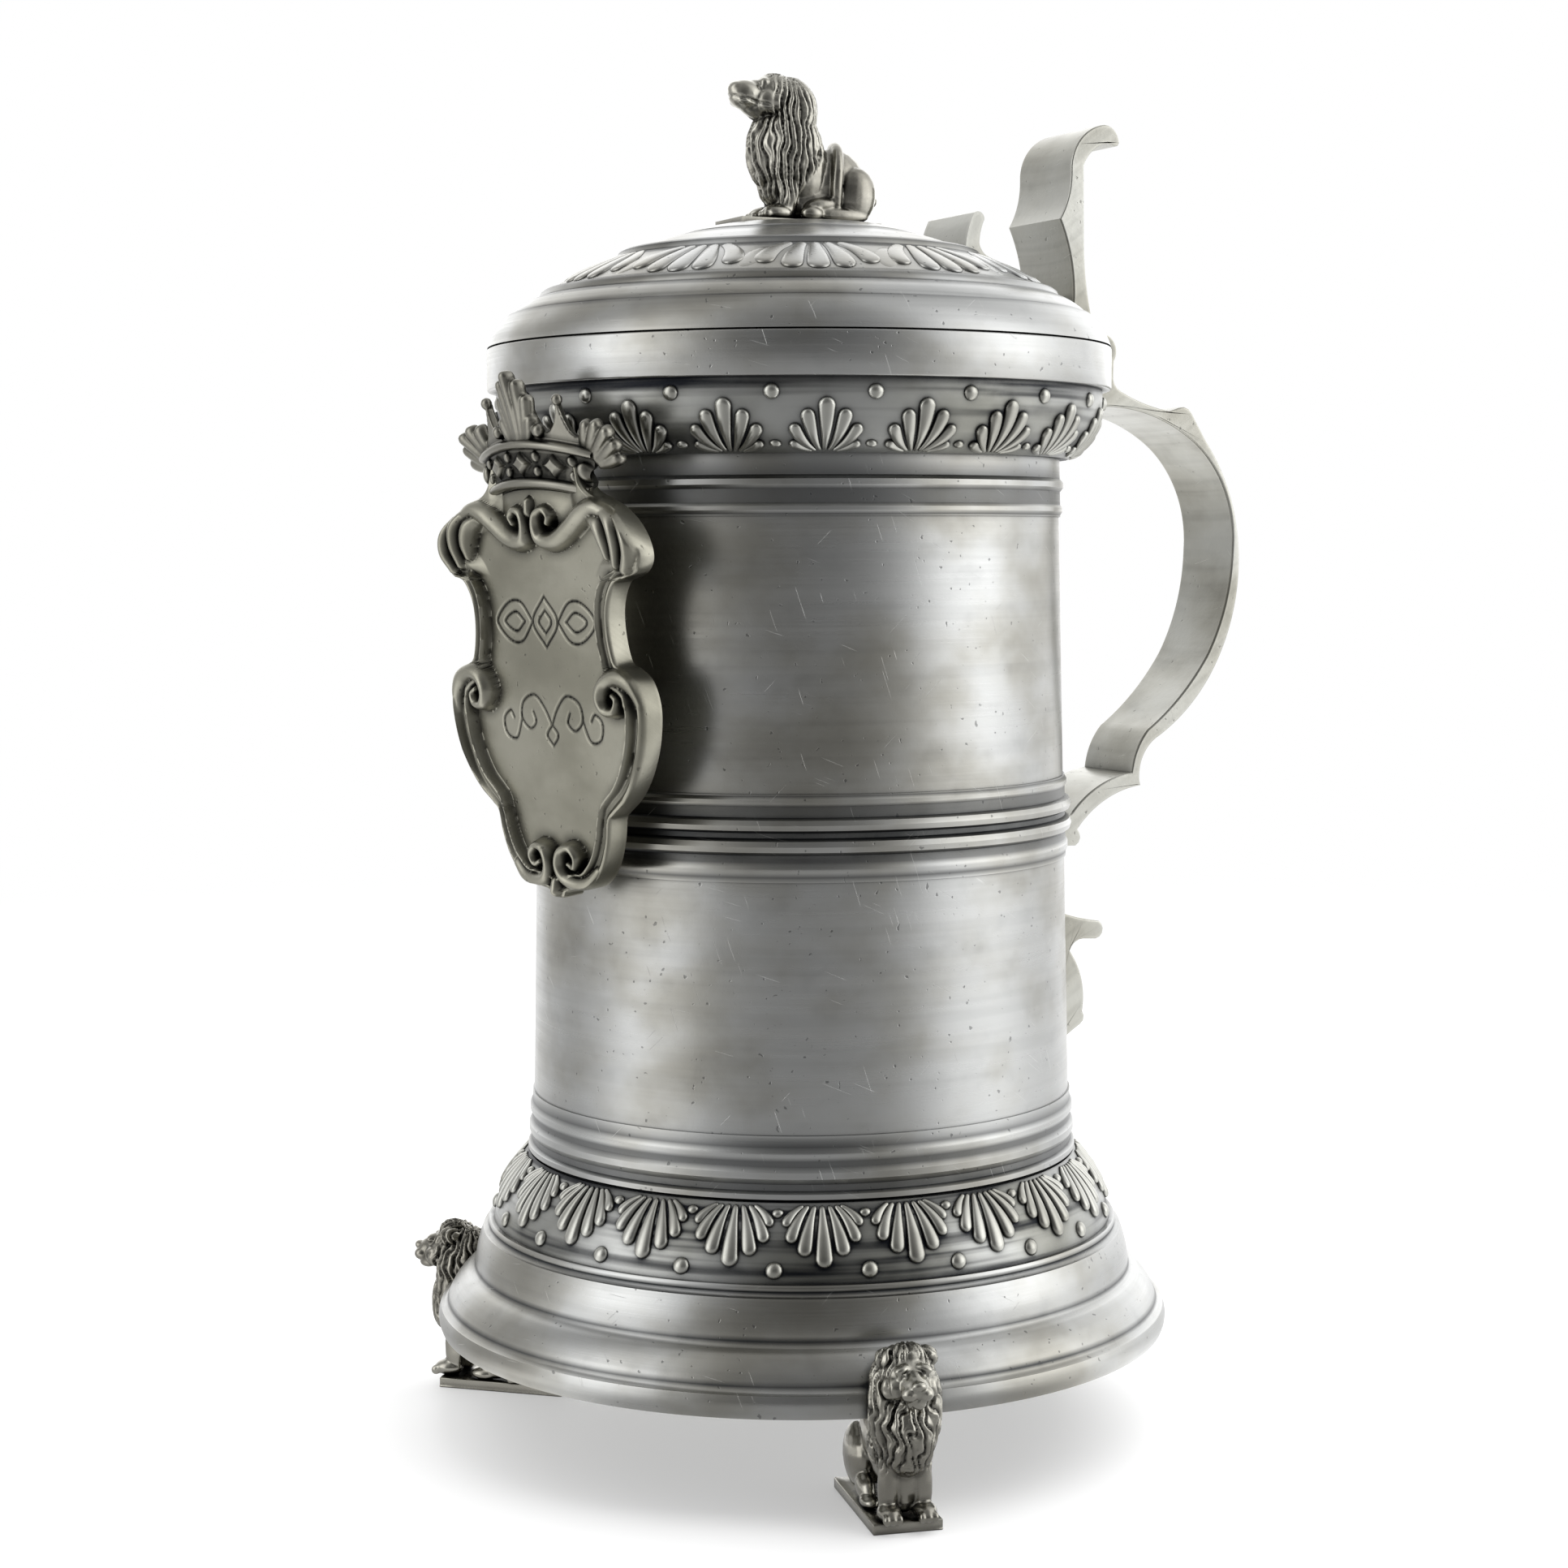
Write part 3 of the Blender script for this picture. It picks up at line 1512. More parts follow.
@dataclass
class Shield:
    """The cast cartouche: a scrolled rim, twisted shoulders and a plain field."""

    thickness: float = 2.8
    columns: int = 250
    rows: int = 320

    def build(self, material: Material) -> Piece:
        """Shape a fine grid into the relief and give it its edge and back.

        Args:
            material: The casting's finish.

        Returns:
            The shield in its place.
        """
        deselect_all()
        bpy.ops.mesh.primitive_grid_add(
            x_subdivisions=self.columns, y_subdivisions=self.rows, size=2 * MM
        )
        plate = bpy.context.object
        plate.name = plate.data.name = "crowned_shield"
        grid = coordinates(plate)
        edge = through(SHIELD_EDGE, 10)
        low, high = edge[0, 1], edge[-1, 1]
        share = (grid[:, 1] + 1) / 2
        share = share - 0.12 * np.sin(share * 2 * math.pi) / (2 * math.pi)
        up = low + (high - low) * share
        order = np.argsort(edge[:, 1], kind="stable")
        half = np.interp(up, edge[order, 1], edge[order, 0])
        across = grid[:, 0] * half
        cuts = self._engraving(np.abs(across), up)
        rise = self._relief(np.abs(across), up, edge) - LINE_DEPTH * cuts
        reshape(plate, np.stack([across, -rise, up], axis=1))
        mark_cuts(plate, cuts * LINE_TARNISH)
        self._close(plate)
        plate.data.transform(on_shield())
        smooth(plate, 50.0)
        return finish_piece(plate, Body.TANKARD, material, ["shield"])

    @staticmethod
    def _relief(x: Array, z: Array, edge: Array) -> Array:
        """Work out the relief over the shield's face.

        Args:
            x: The points' places across the shield, in millimetres.
            z: Their heights from the shield's foot.
            edge: The shield's outline.

        Returns:
            How far each point stands proud of the plate.
        """
        away = edge_distance(x, z, edge)
        away = np.minimum(away, np.where(z < 0, np.hypot(x * 0, z - edge[0, 1]), away))
        width = np.interp(z, *zip(*RIM_WIDTH))
        share = away / width
        plain = np.interp(share, *zip(*RIM_PLAIN))
        hollow = np.interp(share, *zip(*RIM_HOLLOW))
        blend = np.clip((z - 12) / 7, 0, 1) * np.clip((31.5 - z) / 3, 0, 1)
        rim = plain * (1 - blend) + hollow * blend
        rim = rim * np.clip((51.5 - z) / 1.5, 0, 1)
        lip = np.interp(away, (0, 0.4, 1.0), (0.45, 1.0, 1.0))
        crest = np.interp(z, (50, 52, 66), (0, 1.0, 0.9)) * np.clip((x - 9) / 3, 0, 1) * lip
        raised = np.maximum(rim, crest * np.clip(1 - (away - 3.2) / 2.5, 0, 1))
        for path in SHIELD_STROKES:
            raised = np.maximum(raised, stroke_field(x, z, path) * lip)
        pad = np.clip(1.5 - x**2 / 60, 0, None) * soft_step(z, 58.0, 61.5)
        raised = np.maximum(raised, pad)
        return raised + 0.25 * np.exp(-((x / 11) ** 2) - ((z - 30) / 22) ** 2)

    @staticmethod
    def _engraving(x: Array, z: Array) -> Array:
        """Work out the fine lines engraved on the field.

        Args:
            x: The points' places across the shield, in millimetres.
            z: Their heights from the shield's foot.

        Returns:
            How deep each point lies in a line, from 0 to 1.
        """
        cuts = np.zeros_like(x)
        for line in FIELD_LINES:
            away = edge_distance(x, z, through(line, 6))
            cuts = np.maximum(cuts, np.clip(1 - away / LINE_HALF_WIDTH, 0, 1))
        return cuts

    def _close(self, plate: Piece) -> None:
        """Extrude the plate's border to the back and fill it in.

        Args:
            plate: The shield's face, an open sheet.
        """
        select_only(plate)
        bpy.ops.object.mode_set(mode="EDIT")
        bpy.ops.mesh.select_mode(type="EDGE")
        bpy.ops.mesh.select_all(action="DESELECT")
        bpy.ops.mesh.select_non_manifold()
        bpy.ops.mesh.extrude_region_move(TRANSFORM_OT_translate={"value": (0, 0.001, 0)})
        bpy.ops.object.mode_set(mode="OBJECT")
        chosen = np.zeros(len(plate.data.vertices), bool)
        plate.data.vertices.foreach_get("select", chosen)
        places = coordinates(plate)
        places[chosen, 1] = self.thickness
        places[chosen, 0] *= 0.985
        reshape(plate, places)
        select_only(plate)
        bpy.ops.object.mode_set(mode="EDIT")
        bpy.ops.mesh.edge_face_add()
        bpy.ops.object.mode_set(mode="OBJECT")
        face_outwards(plate)


@dataclass
class Crown:
    """The crown on the shield: a bowed band with lozenges, and leaves that flare from it."""

    half_width: float = 15.4
    height: float = 8.4
    curve: float = 30.0
    bottom: float = 62.9
    arch: float = 2.5
    wall: float = 2.2
    # Top edge of the pierced wall between the leaves: across, height above the band.
    points: tuple[Point, ...] = (
        (0.0, 7.4),
        (3.2, 6.0),
        (4.6, 3.0),
        (6.4, 1.5),
        (8.0, 2.6),
        (8.9, 4.6),
        (9.6, 7.0),
        (10.2, 4.6),
        (11.2, 2.2),
        (12.8, 1.3),
        (15.4, 1.6),
    )

    def build(self, material: Material) -> Piece:
        """Model the band, the wall and the leaves and melt them into one casting.

        Args:
            material: The casting's finish.

        Returns:
            The crown in its place.
        """
        leaves = cast_in_one("crown_leaves", [self._wall(), *self._leaves()], 0.24, 1)
        crown = join("shield_crown", [self._band(), leaves])
        crown.data.transform(on_shield())
        smooth(crown, 50.0)
        return finish_piece(crown, Body.TANKARD, material, ["crown"])

    def _bow(self, across: Array | float) -> Array | float:
        """Return how far back the band's face is at a place across."""
        return -2.6 + self.curve - np.sqrt(self.curve**2 - np.square(across))

    def _lift(self, across: Array | float) -> Array | float:
        """Return how far the band's arch raises a place across."""
        return self.arch * (1 - np.square(across / self.half_width))

    def _band(self) -> Piece:
        """Shape the band's relief on a fine grid and give it its wall."""
        deselect_all()
        bpy.ops.mesh.primitive_grid_add(x_subdivisions=190, y_subdivisions=56, size=2 * MM)
        band = bpy.context.object
        grid = coordinates(band)
        up = (grid[:, 1] + 1) / 2 * self.height
        across = grid[:, 0] * self.half_width * (0.88 + 0.12 * up / self.height)
        rise = np.zeros(len(grid))
        for level, half in ((0.9, 0.95), (7.5, 0.85)):
            rise = np.maximum(rise, 1.2 * np.clip(1 - ((up - level) / half) ** 2, 0, 1) ** 0.55)
        for middle in (-7.6, 0.0, 7.6):
            shape = (np.abs(across - middle) / 2.7) ** 0.78 + (np.abs(up - 4.2) / 2.3) ** 0.78
            rise = np.maximum(rise, 0.95 * np.clip((1 - shape) * 2.6, 0, 1) ** 0.8)
        for middle in (-3.8, 3.8, -11.2, 11.2):
            for level in (2.9, 5.5):
                near = np.hypot((across - middle) / 0.8, (up - level) / 1.0)
                rise = np.maximum(rise, 0.8 * np.clip(1 - near**2, 0, 1) ** 0.5)
        for middle in (-13.4, 13.4):
            near = np.hypot((across - middle) / 1.4, (up - 4.2) / 1.7)
            rise = np.maximum(rise, 1.3 * np.clip(1 - near**2, 0, 1) ** 0.5)
        mark_cuts(band, 0.55 * np.clip(1 - rise / 0.5, 0, 1))
        back = self._bow(across) - rise - 0.14 * (up - 4)
        reshape(band, np.stack([across, back, self.bottom + up + self._lift(across)], axis=1))
        apply_modifier(band, "SOLIDIFY", thickness=self.wall * MM, offset=-1.0)
        face_outwards(band)
        return band

    def _wall(self) -> Piece:
        """Shape the wall that rises to a point between each two leaves."""
        deselect_all()
        bpy.ops.mesh.primitive_grid_add(x_subdivisions=120, y_subdivisions=10, size=2 * MM)
        wall = bpy.context.object
        grid = coordinates(wall)
        across = grid[:, 0] * self.half_width
        top = np.interp(np.abs(across), *through(self.points, 6).T)
        up = (grid[:, 1] + 1) / 2 * (top + 1.6) - 1.6
        back = self._bow(across) - 0.1 - 0.17 * up
        level = self.bottom + self.height + up + self._lift(across)
        reshape(wall, np.stack([across, back, level], axis=1))
        apply_modifier(wall, "SOLIDIFY", thickness=1.5 * MM, offset=-1.0)
        return wall

    def _leaves(self) -> list[Piece]:
        """Model the middle leaf, the two end leaves and the balls on the points."""
        middle = [
            Lobe((0.0, -1), (0.0, 12.6), 1.8, 2.5, 1.5),
            Lobe((0.6, -1), (2.1, 11.0), 1.7, 2.3, 1.3, 0.4),
            Lobe((1.1, -1), (3.5, 8.2), 1.6, 2.2, 1.2, 0.6),
            Lobe((1.5, -1), (3.9, 4.6), 1.6, 2.1, 1.2, 0.8),
        ]
        end = [
            Lobe((0.0, -1), (0.0, 6.8), 2.0, 2.6, 1.5),
            Lobe((0.9, -1), (2.5, 5.8), 1.9, 2.5, 1.3, 0.4),
            Lobe((1.7, -1), (4.4, 3.8), 1.8, 2.4, 1.2, 0.7),
        ]
        parts = []
        for lobes, across, outward, sideways, curled in (
            (fan(middle), 0.0, 5.0, 0.0, 0.012),
            (fan(end), 14.6, 20.0, 46.0, 0.035),
            (fan(end), -14.6, 20.0, -46.0, 0.035),
        ):
            leaf = join("leaf", [lobe.model() for lobe in lobes])
            flat = coordinates(leaf)
            curl = np.clip(flat[:, 1] - 3.5, 0, None) ** 2 * curled
            bulge = 0.9 * np.clip(1 - (flat[:, 0] / 5.5) ** 2, 0, 1)
            front = -flat[:, 2] * 1.3 - curl - bulge
            reshape(leaf, np.stack([flat[:, 0], front, flat[:, 1]], axis=1))
            level = self.bottom + self.height - 0.6 + float(self._lift(across))
            root = Vector((across, float(self._bow(across)) + 0.9, level)) * MM
            leaf.data.transform(
                Matrix.Translation(root)
                @ Matrix.Rotation(math.atan2(across, self.curve), 4, "Z")
                @ Matrix.Rotation(math.radians(sideways), 4, "Y")
                @ Matrix.Rotation(math.radians(outward), 4, "X")
            )
            parts.append(leaf)
        for across, above, size in (
            (-9.6, 7.3, (1.05, 1.0, 1.05)),
            (9.6, 7.3, (1.05, 1.0, 1.05)),
            (-5.4, 1.6, (1.2, 1.1, 1.2)),
            (5.4, 1.6, (1.2, 1.1, 1.2)),
        ):
            level = self.bottom + self.height + above + float(self._lift(across))
            place = (across, float(self._bow(across)) - 0.9, level)
            parts.append(ball(place, size, segments=16))
        return parts


# ---- lions ----


@dataclass(frozen=True)
class Locks:
    """Carved wavy locks: how they run round an upright axis."""

    axis: Point
    count: int
    depth: float
    wave: float
    pitch: float

    def carve(
        self, places: Array, normals: Array, share: Array
    ) -> tuple[Array, Array]:
        """Cut grooves between the locks.

        Args:
            places: The skin's points in millimetres.
            normals: Their normals.
            share: How much each point is carved, from 0 to 1.

        Returns:
            The carved points, and how deep each one lies in a groove, from 0 to 1.
        """
        angle = np.arctan2(places[:, 0] - self.axis[0], -(places[:, 1] - self.axis[1]))
        lag = 2.4 * np.sin(angle * 2.3 + 0.5) + 1.6 * np.sin(angle * 5.1)
        sway = self.wave * np.sin(places[:, 2] * 2 * math.pi / self.pitch + lag)
        sway += 0.4 * self.wave * np.sin(places[:, 2] * 2 * math.pi / (self.pitch * 0.43) + angle * 5)
        turn = (angle + sway) * self.count / (2 * math.pi)
        groove = np.abs(np.sin(turn * math.pi)) ** 0.7
        fine = np.abs(np.sin(turn * math.pi * 2 + 0.8)) ** 0.8
        rise = ((groove - 0.55) + (fine - 0.5) * 0.3) * self.depth * share
        return places + normals * rise[:, None], np.clip(0.9 - groove * 2.2, 0, 1) * share


def skin_of(piece: Piece) -> tuple[Array, Array]:
    """Return a mesh's points in millimetres and its vertex normals."""
    normals = np.empty(len(piece.data.vertices) * 3)
    piece.data.vertices.foreach_get("normal", normals)
    return coordinates(piece), normals.reshape(-1, 3)


def soft_step(value: Array, low: float, high: float) -> Array:
    """Return 0 below low and 1 above high, with a smooth way between."""
    share = np.clip((value - low) / (high - low), 0, 1)
    return share * share * (3 - 2 * share)


def both_sides(form: Form) -> list[Form]:
    """Return a form and its mirror image across X."""
    centre, radii, turn = form
    return [form, ((-centre[0], *centre[1:]), radii, (turn[0], -turn[1], -turn[2]))]


@dataclass
class FootLion:
    """A sitting lion that faces outwards over its plinth and carries the base's rim."""

    azimuths: dict[str, float] = field(
        default_factory=lambda: {"right": 76.2, "front": -43.8, "rear": -163.8}
    )
    voxel: float = 0.27

    def build(self, material: Material) -> None:
        """Model one lion and one plinth facing -Y, and copy each to the three feet.

        Args:
            material: The castings' finish.
        """
        lion = self._lion()
        plinth = self._plinth()
        for name, azimuth in self.azimuths.items():
            for first, stem in ((lion, "foot_lion"), (plinth, "foot_plinth")):
                copy = turned_copy(first, f"cast_{stem}_{name}", azimuth)
                finish_piece(copy, Body.TANKARD, material, [f"{stem}_{name}"])
        bpy.data.objects.remove(lion)
        bpy.data.objects.remove(plinth)

    @staticmethod
    def _plinth() -> Piece:
        """Model the slab: roughly sawn, with softened edges."""
        deselect_all()
        bpy.ops.mesh.primitive_cube_add(size=MM)
        slab = bpy.context.object
        middle = Matrix.Translation(Vector((0, -59.75, 1.0)) * MM)
        slab.data.transform(middle @ Matrix.Diagonal((12.3, 25.7, 2.0, 1)))
        select_only(slab)
        bpy.ops.object.mode_set(mode="EDIT")
        bpy.ops.mesh.select_all(action="SELECT")
        bpy.ops.mesh.subdivide(number_cuts=7)
        bpy.ops.object.mode_set(mode="OBJECT")
        soft = {"width": 0.28 * MM, "segments": 2, "limit_method": "ANGLE", "angle_limit": 1.0}
        apply_modifier(slab, "BEVEL", **soft)
        places, normals = skin_of(slab)
        wobble = 0.12 * np.sin(places[:, 1] * 1.9 + places[:, 0] * 1.3)
        wobble *= np.sin(places[:, 0] * 2.7 + 1.0)
        wobble *= soft_step(places[:, 2], 0.15, 0.5)
        reshape(slab, places + normals * wobble[:, None])
        smooth(slab, 40.0)
        return slab

    def _lion(self) -> Piece:
        """Build the lion of rounded masses, melt them together and carve its mane."""
        forms: list[Form] = [
            ((0, -71.6, 26.7), (4.6, 4.8, 4.1), (0, 0, 0)),  # skull
            ((0, -76.0, 25.9), (2.6, 3.2, 2.3), (-6, 0, 0)),  # muzzle
            ((0, -75.8, 27.6), (1.4, 2.8, 1.2), (14, 0, 0)),  # bridge of the nose
            ((0, -78.9, 26.9), (1.3, 0.9, 0.85), (0, 0, 0)),  # nose
            ((0, -77.0, 23.9), (1.8, 1.8, 1.1), (0, 0, 0)),  # chin
            ((0, -68.8, 25.0), (5.4, 4.9, 6.0), (0, 0, 0)),  # mane round the head
            ((0, -69.2, 18.6), (5.4, 5.4, 8.6), (0, 0, 0)),  # mane
            ((0, -72.0, 16.6), (4.6, 3.6, 7.0), (-4, 0, 0)),  # bib
            ((0, -71.6, 30.4), (2.7, 2.6, 1.7), (0, 0, 0)),  # tuft on the head
            ((0, -66.0, 13.6), (5.0, 5.4, 8.4), (8, 0, 0)),  # chest
            ((0, -60.5, 14.0), (4.8, 8.0, 6.6), (28, 0, 0)),  # back
            ((0, -53.6, 8.6), (4.6, 5.0, 6.0), (0, 0, 0)),  # rump
            ((0, -65.8, 23.5), (4.4, 4.2, 5.6), (0, 0, 0)),  # nape
            ((0, -69.0, 8.4), (3.4, 3.2, 6.0), (0, 0, 0)),  # breast between the legs
        ]
        pairs: list[Form] = [
            ((1.35, -77.9, 25.4), (1.5, 1.5, 1.3), (0, 0, 0)),  # upper lip
            ((1.95, -75.3, 28.9), (1.5, 1.0, 0.7), (0, 16, -20)),  # brow
            ((2.0, -75.7, 27.7), (0.85, 0.75, 0.75), (0, 0, 0)),  # eye
            ((2.9, -74.2, 25.6), (1.9, 2.3, 2.1), (0, 0, 0)),  # cheek
            ((3.3, -71.0, 29.6), (1.9, 1.9, 1.6), (0, 0, 0)),  # hair over the ear
            ((2.9, -70.4, 8.2), (1.85, 2.0, 6.8), (0, -2, 0)),  # foreleg
            ((3.1, -71.6, 3.4), (2.1, 2.9, 1.6), (0, 0, 0)),  # forepaw
            ((4.0, -55.6, 8.6), (2.5, 5.4, 5.8), (-12, 0, 0)),  # haunch
            ((4.2, -60.6, 4.6), (1.7, 3.6, 2.4), (20, 0, 0)),  # shin
            ((4.3, -63.6, 3.0), (1.7, 2.8, 1.2), (0, 0, 0)),  # hind paw
            ((3.7, -70.4, 19.8), (2.3, 3.4, 7.6), (0, 4, 0)),  # side of the mane
        ]
        for form in pairs:
            forms += both_sides(form)
        blobs = [ball(*form) for form in forms]
        for side in (-1, 1):
            for toe in (-1.15, 0.0, 1.15):
                blobs.append(ball((side * 3.1 + toe, -74.0, 2.9), (0.66, 1.0, 1.0), segments=12))
        tail = [
            (0.8, -49.6, 6.0, 1.0),
            (3.6, -50.2, 4.2, 1.0),
            (5.2, -54.0, 3.2, 0.95),
            (5.6, -58.0, 2.9, 1.2),
        ]
        blobs.append(rod(tail))
        lion = cast_in_one("foot_lion_model", blobs, self.voxel, 3)
        places, normals = skin_of(lion)
        face = soft_step(-places[:, 1], 73.2, 74.6) * soft_step(places[:, 2], 22.6, 24.0)
        face *= 1 - soft_step(np.abs(places[:, 0]), 3.6, 4.4)
        mane = soft_step(places[:, 2], 9.5, 12.5) * soft_step(-places[:, 1], 62.0, 64.6) * (1 - face)
        places, cuts = Locks((0, -68.6), 25, 0.75, 0.09, 7.5).carve(places, normals, mane)
        mark_cuts(lion, cuts)
        places = self._pupils(places)
        places[:, 2] = np.maximum(places[:, 2], 1.9)
        reshape(lion, places)
        smooth(lion, 180.0)
        return lion

    @staticmethod
    def _pupils(places: Array) -> Array:
        """Drill the eyes."""
        for side in (-1, 1):
            near = np.linalg.norm(places - (side * 2.15, -76.4, 27.7), axis=1)
            places[:, 1] += 0.4 * np.clip(1 - near / 0.45, 0, 1)
        return places


@dataclass
class FinialLion:
    """The lion on the lid, sitting up on its forelegs with its tail over its flank."""

    voxel: float = 0.27

    def build(self, material: Material) -> None:
        """Model the lion and dress it.

        Args:
            material: The casting's finish.
        """
        forms: list[Form] = [
            ((0, -5.2, 247.4), (4.0, 4.5, 4.2), (0, 0, 0)),  # skull
            ((0, -10.8, 247.3), (3.0, 3.6, 2.8), (-10, 0, 0)),  # muzzle
            ((0, -12.8, 248.3), (1.9, 1.6, 1.5), (0, 0, 0)),  # nose
            ((0, -8.8, 245.1), (2.2, 3.6, 1.9), (-14, 0, 0)),  # jaw
            ((0, -9.0, 249.1), (1.6, 3.2, 1.2), (6, 0, 0)),  # bridge of the nose
            ((0, -2.0, 244.8), (4.9, 5.0, 6.4), (0, 0, 0)),  # mane round the head
            ((0, -3.0, 237.6), (5.3, 7.3, 8.4), (0, 0, 0)),  # mane
            ((0, -4.1, 232.4), (3.9, 3.7, 5.8), (0, 0, 0)),  # bib
            ((0, 0.6, 233.6), (4.6, 6.0, 7.2), (0, 0, 0)),  # shoulder
            ((0, 6.2, 232.2), (4.5, 7.4, 6.3), (20, 0, 0)),  # trunk
            ((0, 10.4, 230.4), (4.5, 5.0, 5.7), (0, 0, 0)),  # rump
            ((0, 3.6, 228.2), (4.2, 8.0, 4.0), (0, 0, 0)),  # belly
            ((0.3, 15.4, 229.4), (0.9, 1.0, 1.2), (0, 0, 0)),  # root of the tail
        ]
        pairs: list[Form] = [
            ((1.8, -7.9, 249.8), (1.3, 1.0, 0.75), (0, 20, -20)),  # brow
            ((2.2, -8.4, 248.7), (0.75, 0.65, 0.65), (0, 0, 0)),  # eye
            ((1.5, -11.6, 246.5), (1.35, 1.9, 1.4), (0, 0, 0)),  # upper lip
            ((2.4, -7.2, 246.2), (1.9, 2.6, 2.3), (0, 0, 0)),  # cheek
            ((2.5, -3.7, 229.8), (1.7, 1.9, 5.8), (0, 0, 0)),  # foreleg
            ((2.7, -5.8, 226.0), (2.0, 3.2, 1.6), (0, 0, 0)),  # forepaw
            ((3.5, 10.2, 229.8), (2.7, 4.0, 5.2), (-6, 0, 0)),  # haunch
            ((4.0, 2.6, 227.7), (1.6, 3.6, 1.3), (8, 0, 0)),  # knee
            ((4.4, 6.8, 225.9), (1.6, 5.6, 1.5), (0, 0, 0)),  # shin
            ((4.5, 0.4, 226.0), (1.7, 2.3, 1.5), (0, 0, 0)),  # hind paw
        ]
        for form in pairs:
            forms += both_sides(form)
        blobs = [ball(*form) for form in forms]
        tail = [
            (4.5, 5.6, 227.6, 0.9),
            (4.9, 5.4, 230.6, 1.1),
            (4.8, 5.7, 234.0, 1.15),
            (3.5, 6.4, 237.0, 1.1),
            (1.8, 7.0, 238.4, 1.1),
            (-0.2, 7.6, 238.7, 1.3),
            (-1.2, 7.9, 238.4, 0.9),
        ]
        blobs.append(rod(tail))
        for side in (-1, 1):
            for toe in (-1.15, 0.0, 1.15):
                blobs.append(ball((side * 2.7 + toe, -8.4, 225.7), (0.62, 0.9, 0.9), segments=12))
        lion = cast_in_one("cast_finial_lion", blobs, self.voxel, 4)
        places, normals = skin_of(lion)
        face = soft_step(-places[:, 1], 6.4, 7.4) * soft_step(places[:, 2], 243.0, 244.0)
        back_edge = np.interp(
            places[:, 2], (228, 231, 234, 237, 240, 245, 250), (-2.6, -1.6, 0.8, 3.0, 4.6, 4.6, 2.6)
        )
        mane = soft_step(places[:, 2], 226.8, 229.6) * (1 - face)
        mane *= 1 - soft_step(places[:, 1] - back_edge, -0.3, 0.9)
        mane *= 1 - 0.65 * soft_step(places[:, 2], 246.5, 250.5)
        places, cuts = Locks((0, -2.8), 25, 0.85, 0.06, 10.5).carve(places, normals, mane)
        mark_cuts(lion, cuts)
        line = 245.9 + (places[:, 1] + 10) * -0.28
        mouth = np.clip(1 - np.abs(places[:, 2] - line) / 0.32, 0, 1)
        mouth *= soft_step(-places[:, 1], 7.6, 8.4)
        places -= normals * 0.45 * mouth[:, None]
        places[:, 2] = np.maximum(places[:, 2], 224.7)
        reshape(lion, places)
        smooth(lion, 180.0)
        finish_piece(lion, Body.LID, material, ["finial_lion"])


# ---- CAD nodes that stay, and the studio ----


NODE_FINISHES = {
    "turned": ["vessel_floor", "lid_locating_flange"],
    "strap": ["lid_strap"],
    "shield": "shield_lower_stud shield_upper_stud".split(),
    "lion": ["finial_plate"],
    "pin": ["hinge_pin"],
}


